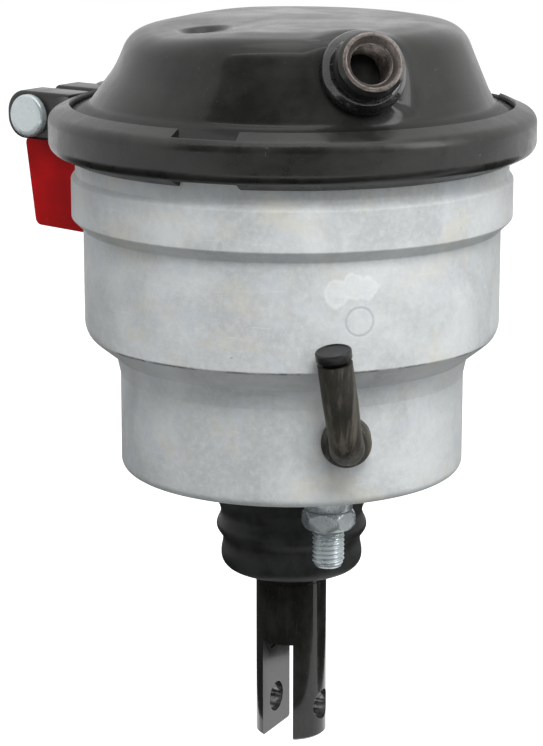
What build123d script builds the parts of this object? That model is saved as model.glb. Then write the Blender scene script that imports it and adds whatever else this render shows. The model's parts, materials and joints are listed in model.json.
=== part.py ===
"""Air brake service chamber, size 24: clamped diaphragm, cast housing, fork-ended push rod.

The origin is the centre of the mounting face, +Z runs up the chamber's axis to the pressure
cover, -Y is the side of the air port, and the push rod leaves downwards. Lengths are millimetres.
"""
from build123d import *
from math import atan2, cos, radians, sin, tan
import os

os.makedirs("parts", exist_ok=True)

# ---------------------------------------------------------------- driving dimensions
# fits and clearances
FACE_GAP = 0.3            # between curved or sloping faces that bear on each other
BORE_GAP = 0.3            # radial, round a bolt, stud or tube in its hole
RUNNING_GAP = 0.05        # radial, the push rod in its bush
THREAD_GAP = 0.05         # radial, a screw in its thread
SEAL_GAP = 0.05           # radial, a lip on what it wipes or grips

# mounting studs
STUD_CIRCLE_D = 100.0
STUD_ANGLE = -74.6
STUD_R = 6.0
STUD_THREAD_RELIEF = 0.1
STUD_THREAD_R = STUD_R - STUD_THREAD_RELIEF
STUD_HEAD_LAP = 2.5
STUD_HEAD_R = STUD_R + STUD_HEAD_LAP
STUD_HEAD_HEIGHT = 3.4
STUD_END_Z = -26.6
STUD_CHAMFER = 1.0
STUD_NECK_LENGTH = 1.0    # of full-size shank below the nut
WASHER_LAP = 3.0
WASHER_R = STUD_R + WASHER_LAP
WASHER_THICKNESS = 5.1
STUD_NUT_FLATS = 18.0
STUD_NUT_HEIGHT = 7.0
RELIEF_MARGIN = 2.2
RELIEF_R = WASHER_R + RELIEF_MARGIN
RELIEF_DEPTH = 0.5

# push rod
ROD_R = 9.0
ROD_THREAD_STEP = 1.0
ROD_THREAD_R = ROD_R - ROD_THREAD_STEP
ROD_SPIGOT_STEP = 2.0
ROD_SPIGOT_R = ROD_R - ROD_SPIGOT_STEP
ROD_CHAMFER = 1.0

# rod guide
GUIDE_TUBE_R = 24.0
GUIDE_FLANGE_WIDTH = 5.0
GUIDE_FLANGE_R = GUIDE_TUBE_R + GUIDE_FLANGE_WIDTH
GUIDE_FLANGE_THICKNESS = 4.0
GUIDE_DROP = 6.5          # below the mounting face
GUIDE_WALL = 3.0
GUIDE_WEB_BOTTOM_Z = 1.0
BUSH_WALL = 3.5
BUSH_R = ROD_R + BUSH_WALL
BUSH_SHOULDER_WIDTH = 2.5
BUSH_SHOULDER_R = BUSH_R + BUSH_SHOULDER_WIDTH
BUSH_SHOULDER_HEIGHT = 2.0
WIPER_WALL = 3.0
WIPER_R = ROD_R + WIPER_WALL
WIPER_HEIGHT = 3.0
WIPER_CHAMFER = 1.0

# return spring
SPRING_GUIDE_SPACE = 5.0  # from the guide's flange to the middle of the wire
SPRING_R = GUIDE_FLANGE_R + SPRING_GUIDE_SPACE
SPRING_WIRE_R = 2.25
SPRING_PITCH = 19.0

# housing, from the floor up
HOUSING_WALL = 5.0
FLOOR_THICKNESS = 9.0
BASE_MARGIN = 15.7        # of the base past the studs' circle
HOUSING_BASE_R = STUD_CIRCLE_D / 2 + BASE_MARGIN
BASE_EDGE_R = 3.6
CREASE_Z = 37.2
NECK_FLARE = 1.6
NECK_RISE = 7.4
NECK_R = HOUSING_BASE_R + NECK_FLARE
NECK_Z = CREASE_Z + NECK_RISE
SHOULDER_WIDTH = 11.7
SHOULDER_RISE = 9.2       # to where the shoulder's cone would meet the body
SHOULDER_ROUND_R = 9.0
SHOULDER_FOOT_ROUND_R = 2.0
BODY_R = NECK_R + SHOULDER_WIDTH
SHOULDER_TOP_Z = NECK_Z + SHOULDER_RISE
PLATE_WALL_GAP = 1.2
PLATE_SPRING_GAP = 2.25
PLATE_OUTER_R = HOUSING_BASE_R - HOUSING_WALL - PLATE_WALL_GAP
PLATE_INNER_R = SPRING_R + SPRING_WIRE_R + PLATE_SPRING_GAP
PLATE_THICKNESS = 3.0

# joint between the two shells, and the housing's rim down to its body
JOINT_Z = 130.2           # middle of the clamp ring
FLANGE_SLOPE = 24.0       # of the wedge faces that the ring draws together
FLANGE_REACH = 8.6
FLANGE_R = BODY_R + FLANGE_REACH   # outer edge of both shells' rims
RIM_DROP = 2.6
RIM_TOP_Z = JOINT_Z - RIM_DROP     # face of the housing's rim
RIM_NECK_PROUD = 2.8
RIM_NECK_DROP = 15.7
RIM_NECK_R = BODY_R + RIM_NECK_PROUD
RIM_NECK_Z = JOINT_Z - RIM_NECK_DROP
BAND_PROUD = 4.4
BAND_CHAMFER_DROP = 2.0
BAND_HEIGHT = 14.6
BAND_FOOT_DROP = 4.2
BAND_R = BODY_R + BAND_PROUD
BAND_TOP_Z = RIM_NECK_Z - BAND_CHAMFER_DROP
BAND_BOTTOM_Z = BAND_TOP_Z - BAND_HEIGHT
BODY_TOP_Z = BAND_BOTTOM_Z - BAND_FOOT_DROP

# clamp ring
RING_STOCK = 2.5
RING_SPACE = 1.7          # between the rims and the ring's wall
RING_OUTER_R = FLANGE_R + RING_SPACE + RING_STOCK
RING_HALF_HEIGHT = 10.0   # at the top flange's inner edge, on its outer face
RING_FLANGE_LAP = 3.8     # of the top flange over the rims
RING_TOP_INNER_R = FLANGE_R - RING_FLANGE_LAP
RING_CORNER_R = 4.7
NOTCH_DEPTH = 2.8
NOTCH_FLOOR_R = RING_OUTER_R - NOTCH_DEPTH
NOTCH_REACH = 0.8            # of the floor's radius, where the cutter ends
NOTCHES = ((-110.9, 15.8), (27.5, 21.0))   # middle angle and width of each relief

# clamp lug and bolt
LUG_ANGLE = 144.0
LUG_DROP = 1.5
LUG_Z = JOINT_Z - LUG_DROP         # height of the clamp bolt
LUG_GAP = 18.0            # between the two ears
EAR_THICKNESS = 14.0
EAR_HEIGHT = 19.0
EAR_REACH = 31.2
EAR_TIP_R = RING_OUTER_R + EAR_REACH
EAR_ROOT_DEPTH = 5.3
EAR_ROOT_R = RING_OUTER_R - EAR_ROOT_DEPTH
EAR_ROUNDING = 0.48       # of the ear's height, at its tip
CLAMP_BOLT_R = 5.0
CLAMP_BOLT_REACH = 18.2
CLAMP_BOLT_AXIS_R = RING_OUTER_R + CLAMP_BOLT_REACH
CLAMP_HEAD_LAP = 3.35
CLAMP_HEAD_R = CLAMP_BOLT_R + CLAMP_HEAD_LAP
CLAMP_HEAD_HEIGHT = 3.6
CLAMP_HEAD_EDGE_R = 0.6
CLAMP_WASHER_LAP = 4.0
CLAMP_WASHER_R = CLAMP_BOLT_R + CLAMP_WASHER_LAP
CLAMP_WASHER_THICKNESS = 2.0
CLAMP_NUT_FLATS = 16.0
CLAMP_NUT_HEIGHT = 8.4
CLAMP_THREAD_SPARE = 4.0

# gap guard
GUARD_REACH = 27.7
GUARD_TIP_R = RING_OUTER_R + GUARD_REACH
GUARD_HALF_WIDTH = 14.0
GUARD_DEPTH = 45.5          # below the clamp bolt's axis
GUARD_SIDE_GAP = 0.6
GUARD_SADDLE_HEIGHT = 3.0   # of the clip over the clamp bolt's axis
GUARD_PLUG_HEIGHT = 7.0     # of the part in the ring's gap
GUARD_CORNER_R = 3.0
GUARD_TAPER = 5.0         # how far the tip draws in towards the bottom

# pressure cover
COVER_STOCK = 3.0
COVER_HEIGHT = 42.0
COVER_TOP_Z = JOINT_Z + COVER_HEIGHT
COVER_LIP = 12.0
COVER_FOOT_R = FLANGE_R - COVER_LIP
COVER_WALL_SPREAD = 11.6
SHOULDER_R = COVER_FOOT_R - COVER_WALL_SPREAD
SHOULDER_DROP = 3.4
CROWN_MARGIN = 14.0
CROWN_R = SHOULDER_R - CROWN_MARGIN
CROWN_DROP = 1.1
CROWN_BEND_R = 30.0
SHOULDER_BEND_R = 12.0
FOOT_BEND_R = 5.0
DIMPLE_ANGLE = 210.0
DIMPLE_DISTANCE = 39.0
DIMPLE_R = 10.0
DIMPLE_DEPTH = 1.4
DIMPLE_WALL_ANGLE = 20.0

# air port
PORT_WALL_ANGLE = -69.8     # where the port stands on the cover
PORT_ANGLE = -75.0          # the way it points
PORT_RISE = 24.0
PORT_DROP = 13.8            # of its seat below the cover's top
PORT_INSET = 6.1            # of its seat from the cover's foot
PORT_WALL_R = COVER_FOOT_R - PORT_INSET
PORT_WALL_Z = COVER_TOP_Z - PORT_DROP
PORT_LENGTH = 13.7
PORT_THREAD_R = 7.25        # tapping size of M16 x 1.5
PORT_WALL = 4.25
PORT_FACE_R = PORT_THREAD_R + PORT_WALL
PORT_BASE_FLARE = 1.4
PORT_BASE_R = PORT_FACE_R + PORT_BASE_FLARE
PORT_SPIGOT_WALL = 2.75
PORT_SPIGOT_R = PORT_THREAD_R + PORT_SPIGOT_WALL
PORT_SPIGOT_LENGTH = 5.0
PORT_CHAMFER = 1.2
WELD_DEPTH = 2.6            # of the boss and its collar below the wall
WELD_LAP = 2.5
WELD_R = PORT_BASE_R + WELD_LAP
WELD_WALL_HEIGHT = 2.6
WELD_CONE_HEIGHT = 2.6
WELD_CONE_ANGLE = 38.0

# vent
VENT_X = 19.4              # from the middle plane
VENT_Z = 23.9
VENT_TUBE_R = 6.7
VENT_WALL = 2.2
VENT_BORE_R = VENT_TUBE_R - VENT_WALL
VENT_BEND_R = 10.0
VENT_OUT = 14.9            # from the base's wall to the corner
VENT_IN = 13.7             # from the base's wall to the tube's inner end
VENT_CORNER_Y = -HOUSING_BASE_R - VENT_OUT
VENT_INNER_Y = -HOUSING_BASE_R + VENT_IN
VENT_RISE = 34.1
VENT_LEAN_OUT = 9.0
VENT_LEAN_SIDE = 8.0
GROMMET_WALL = 1.6
GROMMET_NECK_R = VENT_TUBE_R + GROMMET_WALL
GROMMET_LIP_WIDTH = 1.5
GROMMET_R = GROMMET_NECK_R + GROMMET_LIP_WIDTH
GROMMET_LIP = 1.6
VENT_CAP_LAP = 0.3
VENT_CAP_R = VENT_TUBE_R + VENT_CAP_LAP
VENT_CAP_HEIGHT = 5.0
VENT_CAP_PLUG_LENGTH = 6.0
VENT_CAP_EDGE_R = 0.8

# yoke
YOKE_R = 13.75
YOKE_TOP_Z = -33.0
YOKE_LENGTH = 76.6
YOKE_END_Z = YOKE_TOP_Z - YOKE_LENGTH
YOKE_ANGLE = -26.0
SLOT_WIDTH = 13.0
SLOT_LENGTH = 39.3
SLOT_TOP_Z = YOKE_END_Z + SLOT_LENGTH
PIN_HOLE_R = 6.0
PIN_RISE = 12.5           # from the yoke's end
PIN_Z = YOKE_END_Z + PIN_RISE
TAPPED_RUNOUT = 5.5       # of the yoke's thread past the slot's top
YOKE_EDGE = 0.8
YOKE_GROOVE_DROP = 12.6
YOKE_GROOVE_Z = YOKE_TOP_Z - YOKE_GROOVE_DROP
YOKE_GROOVE_WIDTH = 1.0
YOKE_GROOVE_DEPTH = 0.4

# push plate
PUSH_PLATE_MARGIN = 12.0  # inside the cover's shoulder
PUSH_PLATE_R = SHOULDER_R - PUSH_PLATE_MARGIN
PUSH_PLATE_STOCK = 4.0
PUSH_PLATE_DROP = 10.8    # of its top below the cover's
PUSH_PLATE_TOP_Z = COVER_TOP_Z - PUSH_PLATE_DROP
PUSH_PLATE_RIM = 9.0
PUSH_PLATE_BEND_R = 6.0
COLLAR_WIDTH = 6.0
COLLAR_R = ROD_R + COLLAR_WIDTH
COLLAR_THICKNESS = 4.0
COLLAR_CHAMFER = 2.0

# diaphragm
DIAPHRAGM_STOCK = 3.2
BEAD_WIDTH = 7.6
BEAD_INNER_R = FLANGE_R - BEAD_WIDTH
DIAPHRAGM_WALL_GAP = 0.8
FOLD_WIDTH = 6.72         # of the fold's two walls at the shoulder and the foot

# bellows
BELLOWS_STOCK = 1.6
BELLOWS_FOOT_DROP = 8.6   # of its foot below the yoke's top
BELLOWS_BOTTOM_Z = YOKE_TOP_Z - BELLOWS_FOOT_DROP
BELLOWS_LIP = 5.6         # height of the neck that grips the yoke
BELLOWS_CREST_PROUD = (0.0, 0.2, -1.6)   # past the bead
BELLOWS_CREST_RISE = (28.6, 17.3, 6.3)   # above the foot
BELLOWS_VALLEY_DEPTH = (1.4, 2.4)        # inside the bead
BELLOWS_BEAD_WIDTH = 5.0
BELLOWS_BEAD_R = GUIDE_TUBE_R + BELLOWS_BEAD_WIDTH
BELLOWS_BEAD_HEIGHT = 8.0
BELLOWS_SEAT_MARGIN = 2.5
BELLOWS_SEAT_R = BELLOWS_BEAD_R + BELLOWS_SEAT_MARGIN     # recess round the bellows in the mounting face
BELLOWS_SEAT_DEPTH = 2.0

# ---------------------------------------------------------------- derived sizes
SLOPE_RISE = tan(radians(FLANGE_SLOPE))
SLOPE_COS = cos(radians(FLANGE_SLOPE))
LUG_OUT = Vector(cos(radians(LUG_ANGLE)), sin(radians(LUG_ANGLE)), 0)
LUG_ALONG = Vector(sin(radians(LUG_ANGLE)), -cos(radians(LUG_ANGLE)), 0)
LUG_PLANE = Plane(origin=(0, 0, LUG_Z), x_dir=LUG_OUT, z_dir=LUG_ALONG)
EAR_INNER = LUG_GAP / 2
EAR_OUTER = EAR_INNER + EAR_THICKNESS
STUD_CIRCLE_R = STUD_CIRCLE_D / 2
PLATE_TOP_Z = FLOOR_THICKNESS + PLATE_THICKNESS
INNER_BODY_R = BODY_R - HOUSING_WALL
SHOULDER_SLOPE = atan2(SHOULDER_TOP_Z - NECK_Z, BODY_R - NECK_R)
PUSH_PLATE_BOTTOM_Z = PUSH_PLATE_TOP_Z - PUSH_PLATE_STOCK


def ring_face(r, depth):
    """Height above the joint's middle of the ring's wedge face, at a depth below its skin."""
    outer = RING_HALF_HEIGHT - (r - RING_TOP_INNER_R) * SLOPE_RISE
    return outer - depth / SLOPE_COS


RIM_DEPTH = RING_STOCK + FACE_GAP
COVER_TOP_OUTLINE = (
    (0, COVER_TOP_Z),
    (CROWN_R, COVER_TOP_Z - CROWN_DROP),
    (SHOULDER_R, COVER_TOP_Z - SHOULDER_DROP),
    (COVER_FOOT_R, JOINT_Z + ring_face(COVER_FOOT_R, RIM_DEPTH)),
    (FLANGE_R, JOINT_Z + ring_face(FLANGE_R, RIM_DEPTH)),
)
COVER_BENDS = (CROWN_BEND_R, SHOULDER_BEND_R, FOOT_BEND_R)


def shell_face(depth):
    """The cover's outline moved inwards by a depth: corner points and bend radii."""
    points = []
    for i, (r, z) in enumerate(COVER_TOP_OUTLINE):
        before = COVER_TOP_OUTLINE[max(i - 1, 0)]
        after = COVER_TOP_OUTLINE[min(i + 1, len(COVER_TOP_OUTLINE) - 1)]
        a_in = atan2(z - before[1], r - before[0]) if i else atan2(0, 1)
        a_out = atan2(after[1] - z, after[0] - r) if i < len(COVER_TOP_OUTLINE) - 1 else a_in
        half = (a_out - a_in) / 2
        middle = (a_in + a_out) / 2
        reach = depth / cos(half)
        points.append((r + reach * sin(middle), z - reach * cos(middle)))
    points[0] = (0, points[0][1])
    radii = [
        COVER_BENDS[0] - depth,
        COVER_BENDS[1] - depth,
        COVER_BENDS[2] + depth,
    ]
    return points, radii


def from_axis(angle, radius, height):
    """A point at an angle round the chamber's axis, a radius from it and a height."""
    return Vector(radius * cos(radians(angle)), radius * sin(radians(angle)), height)


# ---------------------------------------------------------------- envelopes used as cutters
outer_points, outer_radii = shell_face(-FACE_GAP)
inner_points, inner_radii = shell_face(COVER_STOCK)

with BuildPart(mode=Mode.PRIVATE) as dome_envelope:
    with BuildSketch(Plane.XZ):
        with BuildLine():
            edge = FilletPolyline(*outer_points, radius=outer_radii)
            Polyline(outer_points[-1], (outer_points[-1][0], RIM_TOP_Z), (0, RIM_TOP_Z), outer_points[0])
        make_face()
    revolve(axis=Axis.Z)

HOUSING_OUTLINE = (
    (BODY_R, BODY_TOP_Z),
    (BAND_R, BAND_BOTTOM_Z),
    (BAND_R, BAND_TOP_Z),
    (RIM_NECK_R, RIM_NECK_Z),
)

with BuildPart(mode=Mode.PRIVATE) as housing_envelope:
    with BuildSketch(Plane.XZ):
        with BuildLine():
            grown = [(r + FACE_GAP, z) for r, z in HOUSING_OUTLINE]
            Polyline(
                (0, 0),
                (grown[0][0], 0),
                *grown,
                (RIM_NECK_R + FACE_GAP, RIM_TOP_Z),
                (0, RIM_TOP_Z),
                close=True,
            )
        make_face()
    revolve(axis=Axis.Z)

# ---------------------------------------------------------------- pressure cover
PORT_DIRECTION = from_axis(PORT_ANGLE, cos(radians(PORT_RISE)), sin(radians(PORT_RISE)))
PORT_ORIGIN = from_axis(PORT_WALL_ANGLE, PORT_WALL_R, PORT_WALL_Z)
PORT_PLANE = Plane(origin=PORT_ORIGIN, z_dir=PORT_DIRECTION)
DIMPLE_POINT = from_axis(DIMPLE_ANGLE, DIMPLE_DISTANCE, 0)

with BuildPart() as pressure_cover:
    with BuildSketch(Plane.XZ):
        with BuildLine():
            skin = FilletPolyline(*COVER_TOP_OUTLINE, radius=list(COVER_BENDS))
            lining = FilletPolyline(*inner_points, radius=inner_radii)
            Line(skin @ 1, lining @ 1)
            Line(skin @ 0, lining @ 0)
        make_face()
    revolve(axis=Axis.Z)
    with BuildSketch(PORT_PLANE.offset(-PORT_SPIGOT_LENGTH * 2)):
        Circle(PORT_SPIGOT_R + BORE_GAP)
    extrude(amount=PORT_LENGTH * 2, mode=Mode.SUBTRACT)
    with BuildSketch(Plane.XY.offset(COVER_TOP_Z - CROWN_DROP / 2 - DIMPLE_DEPTH)):
        with Locations((DIMPLE_POINT.X, DIMPLE_POINT.Y)):
            Circle(DIMPLE_R)
    extrude(amount=DIMPLE_DEPTH * 2, taper=-DIMPLE_WALL_ANGLE, mode=Mode.SUBTRACT)
pressure_cover.part.label = "pressure_cover"

# ---------------------------------------------------------------- air port
with BuildPart() as air_port:
    with BuildSketch(PORT_PLANE.offset(-WELD_DEPTH)):
        Circle(PORT_BASE_R)
    with BuildSketch(PORT_PLANE.offset(PORT_LENGTH)):
        Circle(PORT_FACE_R)
    loft()
    add(dome_envelope.part, mode=Mode.SUBTRACT)
    with BuildSketch(PORT_PLANE.offset(-PORT_SPIGOT_LENGTH)):
        Circle(PORT_SPIGOT_R)
    extrude(amount=PORT_SPIGOT_LENGTH + WELD_DEPTH)
    with BuildSketch(PORT_PLANE.offset(-PORT_SPIGOT_LENGTH)):
        Circle(PORT_THREAD_R)
    extrude(amount=PORT_SPIGOT_LENGTH + PORT_LENGTH, mode=Mode.SUBTRACT)
    mouth = air_port.edges().filter_by(GeomType.CIRCLE).sort_by(Axis(PORT_ORIGIN, PORT_DIRECTION))
    chamfer([e for e in mouth[-2:] if e.radius < PORT_FACE_R - PORT_CHAMFER], PORT_CHAMFER)
air_port.part.label = "air_port"

with BuildPart() as port_weld:
    with BuildSketch(PORT_PLANE.offset(-WELD_DEPTH)):
        Circle(WELD_R)
    extrude(amount=WELD_DEPTH + WELD_WALL_HEIGHT)
    with BuildSketch(PORT_PLANE.offset(WELD_WALL_HEIGHT)):
        Circle(WELD_R)
    extrude(amount=WELD_CONE_HEIGHT, taper=WELD_CONE_ANGLE)
    with BuildSketch(PORT_PLANE.offset(-WELD_DEPTH)):
        Circle(PORT_BASE_R + THREAD_GAP)
    extrude(amount=PORT_LENGTH, mode=Mode.SUBTRACT)
    add(dome_envelope.part, mode=Mode.SUBTRACT)
port_weld.part.label = "port_weld"

# ---------------------------------------------------------------- housing
VENT_START = Vector(VENT_X, VENT_INNER_Y, VENT_Z)
VENT_PLANE = Plane(origin=VENT_START, z_dir=(0, -1, 0))
INNER_BASE_R = HOUSING_BASE_R - HOUSING_WALL
INNER_NECK_R = NECK_R - HOUSING_WALL
INNER_ROUND_R = SHOULDER_ROUND_R - HOUSING_WALL
INNER_LIFT = HOUSING_WALL * tan(SHOULDER_SLOPE / 2)
STUD_PLACES = PolarLocations(STUD_CIRCLE_R, 2, start_angle=STUD_ANGLE, rotate=False)

with BuildPart() as housing:
    with BuildSketch(Plane.XZ):
        with BuildLine():
            Polyline(
                (GUIDE_TUBE_R + BORE_GAP, FLOOR_THICKNESS),
                (GUIDE_TUBE_R + BORE_GAP, BELLOWS_SEAT_DEPTH),
                (BELLOWS_SEAT_R, BELLOWS_SEAT_DEPTH),
                (BELLOWS_SEAT_R, 0),
                (HOUSING_BASE_R, 0),
                (HOUSING_BASE_R, CREASE_Z),
            )
            FilletPolyline(
                (HOUSING_BASE_R, CREASE_Z),
                (NECK_R, NECK_Z),
                (BODY_R, SHOULDER_TOP_Z),
                (BODY_R, BODY_TOP_Z),
                radius=[SHOULDER_FOOT_ROUND_R, SHOULDER_ROUND_R],
            )
            Polyline(
                *HOUSING_OUTLINE,
                (RIM_NECK_R, JOINT_Z - ring_face(RIM_NECK_R, RIM_DEPTH)),
                (FLANGE_R, JOINT_Z - ring_face(FLANGE_R, RIM_DEPTH)),
                (FLANGE_R, RIM_TOP_Z),
                (INNER_BODY_R, RIM_TOP_Z),
            )
            FilletPolyline(
                (INNER_BODY_R, RIM_TOP_Z),
                (INNER_BODY_R, SHOULDER_TOP_Z + INNER_LIFT),
                (INNER_NECK_R, NECK_Z + INNER_LIFT),
                (INNER_BASE_R, CREASE_Z),
                radius=[INNER_ROUND_R, SHOULDER_FOOT_ROUND_R],
            )
            Polyline(
                (INNER_BASE_R, CREASE_Z),
                (INNER_BASE_R, FLOOR_THICKNESS),
                (GUIDE_TUBE_R + BORE_GAP, FLOOR_THICKNESS),
            )
        make_face()
    revolve(axis=Axis.Z)
    base_edge = housing.edges().filter_by(GeomType.CIRCLE).filter_by(
        lambda e: abs(e.radius - HOUSING_BASE_R) < 0.01 and abs(e.center().Z) < 0.01
    )
    fillet(base_edge, BASE_EDGE_R)
    with BuildSketch():
        with STUD_PLACES:
            Circle(RELIEF_R)
    extrude(amount=RELIEF_DEPTH, mode=Mode.SUBTRACT)
    with BuildSketch():
        with STUD_PLACES:
            Circle(STUD_R + BORE_GAP)
    extrude(amount=FLOOR_THICKNESS, mode=Mode.SUBTRACT)
    with BuildSketch(VENT_PLANE):
        Circle(GROMMET_NECK_R + BORE_GAP)
    extrude(amount=HOUSING_BASE_R, mode=Mode.SUBTRACT)
housing.part.label = "housing"

# ---------------------------------------------------------------- clamp ring
HOLLOW_R = RING_OUTER_R - RING_STOCK
RING_END_DRAW = RING_STOCK * sin(radians(FLANGE_SLOPE))
RING_BOTTOM_INNER_R = RIM_NECK_R + FACE_GAP + RING_END_DRAW


def ring_outline(top_r, wall_r, bottom_r, depth):
    """The channel's four corners at a depth inside its skin, from the top flange's edge down."""
    return [
        (top_r, JOINT_Z + ring_face(top_r, depth)),
        (wall_r, JOINT_Z + ring_face(wall_r, depth)),
        (wall_r, JOINT_Z - ring_face(wall_r, depth)),
        (bottom_r, JOINT_Z - ring_face(bottom_r, depth)),
    ]


ring_skin = ring_outline(RING_TOP_INNER_R, RING_OUTER_R, RING_BOTTOM_INNER_R, 0)
ring_lining = ring_outline(
    RING_TOP_INNER_R - RING_END_DRAW, HOLLOW_R, RING_BOTTOM_INNER_R - RING_END_DRAW, RING_STOCK
)

with BuildPart(mode=Mode.PRIVATE) as ring_hollow:
    with BuildSketch(Plane.XZ):
        with BuildLine():
            Polyline((0, ring_lining[0][1]), *ring_lining, (0, ring_lining[3][1]), close=True)
        make_face()
    revolve(axis=Axis.Z)

with BuildPart() as clamp_ring:
    for start in (-EAR_OUTER, EAR_INNER):
        with BuildSketch(LUG_PLANE.offset(start)) as ear:
            with Locations(((EAR_ROOT_R + EAR_TIP_R) / 2, 0)):
                Rectangle(EAR_TIP_R - EAR_ROOT_R, EAR_HEIGHT)
            fillet(ear.vertices().group_by(Axis.X)[-1], EAR_HEIGHT * EAR_ROUNDING)
        extrude(amount=EAR_THICKNESS)
    add(ring_hollow.part, mode=Mode.SUBTRACT)
    with BuildSketch(Plane.XZ):
        with BuildLine():
            skin = FilletPolyline(*ring_skin, radius=RING_CORNER_R)
            lining = FilletPolyline(*ring_lining, radius=RING_CORNER_R - RING_STOCK)
            Line(skin @ 0, lining @ 0)
            Line(skin @ 1, lining @ 1)
        make_face()
    revolve(axis=Axis.Z)
    with BuildSketch(LUG_PLANE.offset(-EAR_INNER)):
        with Locations((EAR_TIP_R, 0)):
            Rectangle(EAR_TIP_R, EAR_HEIGHT * 3)
    extrude(amount=LUG_GAP, mode=Mode.SUBTRACT)
    for angle, width in NOTCHES:
        with BuildSketch(Plane.XY.offset(JOINT_Z - EAR_HEIGHT)):
            with BuildLine():
                start = from_axis(angle - width / 2, NOTCH_FLOOR_R, 0)
                middle = from_axis(angle, NOTCH_FLOOR_R, 0)
                end = from_axis(angle + width / 2, NOTCH_FLOOR_R, 0)
                ThreePointArc(start, middle, end)
                Polyline(end, end * NOTCH_REACH, start * NOTCH_REACH, start)
            make_face()
        extrude(amount=EAR_HEIGHT * 2, mode=Mode.SUBTRACT)
    with BuildSketch(LUG_PLANE.offset(-EAR_OUTER)):
        with Locations((CLAMP_BOLT_AXIS_R, 0)):
            Circle(CLAMP_BOLT_R + BORE_GAP)
    extrude(amount=EAR_OUTER * 2, mode=Mode.SUBTRACT)
clamp_ring.part.label = "clamp_ring"

# ---------------------------------------------------------------- clamp bolt, nut and washer
with BuildPart() as clamp_bolt:
    with BuildSketch(LUG_PLANE.offset(-EAR_OUTER - CLAMP_HEAD_HEIGHT)):
        with Locations((CLAMP_BOLT_AXIS_R, 0)):
            Circle(CLAMP_HEAD_R)
    extrude(amount=CLAMP_HEAD_HEIGHT)
    head_rims = clamp_bolt.edges().filter_by(GeomType.CIRCLE)
    fillet(head_rims.group_by(Axis((0, 0, 0), LUG_ALONG))[0], CLAMP_HEAD_EDGE_R)
    with BuildSketch(LUG_PLANE.offset(-EAR_OUTER)):
        with Locations((CLAMP_BOLT_AXIS_R, 0)):
            Circle(CLAMP_BOLT_R)
    extrude(amount=EAR_OUTER * 2 + CLAMP_WASHER_THICKNESS + CLAMP_NUT_HEIGHT + CLAMP_THREAD_SPARE)
clamp_bolt.part.label = "clamp_bolt"

with BuildPart() as clamp_washer:
    with BuildSketch(LUG_PLANE.offset(EAR_OUTER)):
        with Locations((CLAMP_BOLT_AXIS_R, 0)):
            Circle(CLAMP_WASHER_R)
            Circle(CLAMP_BOLT_R + BORE_GAP, mode=Mode.SUBTRACT)
    extrude(amount=CLAMP_WASHER_THICKNESS)
clamp_washer.part.label = "clamp_washer"

with BuildPart() as clamp_nut:
    with BuildSketch(LUG_PLANE.offset(EAR_OUTER + CLAMP_WASHER_THICKNESS)):
        with Locations((CLAMP_BOLT_AXIS_R, 0)):
            RegularPolygon(CLAMP_NUT_FLATS / 2, 6, major_radius=False)
            Circle(CLAMP_BOLT_R + THREAD_GAP, mode=Mode.SUBTRACT)
    extrude(amount=CLAMP_NUT_HEIGHT)
clamp_nut.part.label = "clamp_nut"

# ---------------------------------------------------------------- gap guard
GUARD_TOP_DROP = EAR_HEIGHT / 2 + FACE_GAP
GUARD_TONGUE_HALF = EAR_INNER - GUARD_SIDE_GAP
GUARD_PLUG_R = FLANGE_R + GUARD_SIDE_GAP

with BuildPart(mode=Mode.PRIVATE) as ring_envelope:
    with BuildSketch(Plane.XZ):
        with BuildLine():
            wall = RING_OUTER_R + FACE_GAP
            inner = RING_BOTTOM_INNER_R - RING_STOCK
            Polyline(
                (0, JOINT_Z + ring_face(0, -FACE_GAP)),
                (wall, JOINT_Z + ring_face(wall, -FACE_GAP)),
                (wall, JOINT_Z - ring_face(wall, -FACE_GAP)),
                (inner, JOINT_Z - ring_face(inner, -FACE_GAP)),
                (0, JOINT_Z - ring_face(inner, -FACE_GAP)),
                close=True,
            )
        make_face()
    revolve(axis=Axis.Z)

with BuildPart() as gap_guard:
    with BuildSketch(LUG_PLANE.offset(-GUARD_HALF_WIDTH)):
        with BuildLine():
            FilletPolyline(
                (BODY_R / 2, -GUARD_TOP_DROP),
                (GUARD_TIP_R, -GUARD_TOP_DROP),
                (GUARD_TIP_R - GUARD_TAPER, -GUARD_DEPTH),
                (BODY_R / 2, -GUARD_DEPTH),
                close=True,
                radius=GUARD_CORNER_R,
            )
        make_face()
    extrude(amount=GUARD_HALF_WIDTH * 2)
    add(ring_envelope.part, mode=Mode.SUBTRACT)
    with BuildSketch(LUG_PLANE.offset(-GUARD_TONGUE_HALF)):
        with BuildLine():
            Polyline(
                (GUARD_PLUG_R, -GUARD_TOP_DROP),
                (GUARD_TIP_R, -GUARD_TOP_DROP),
                (GUARD_TIP_R, GUARD_SADDLE_HEIGHT),
                (RING_OUTER_R, GUARD_SADDLE_HEIGHT),
                (RING_OUTER_R, GUARD_PLUG_HEIGHT),
                (GUARD_PLUG_R, GUARD_PLUG_HEIGHT),
                close=True,
            )
        make_face()
    extrude(amount=GUARD_TONGUE_HALF * 2)
    add(housing_envelope.part, mode=Mode.SUBTRACT)
    with BuildSketch(LUG_PLANE.offset(-EAR_OUTER)):
        with Locations((CLAMP_BOLT_AXIS_R, 0)):
            Circle(CLAMP_BOLT_R + BORE_GAP)
    extrude(amount=EAR_OUTER * 2, mode=Mode.SUBTRACT)
gap_guard.part.label = "gap_guard"

# ---------------------------------------------------------------- stud plate, studs, washers, nuts
with BuildPart() as stud_plate:
    with BuildSketch(Plane.XY.offset(FLOOR_THICKNESS)):
        Circle(PLATE_OUTER_R)
        Circle(PLATE_INNER_R, mode=Mode.SUBTRACT)
        with STUD_PLACES:
            Circle(STUD_R + BORE_GAP, mode=Mode.SUBTRACT)
    extrude(amount=PLATE_THICKNESS)
stud_plate.part.label = "stud_plate"

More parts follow.
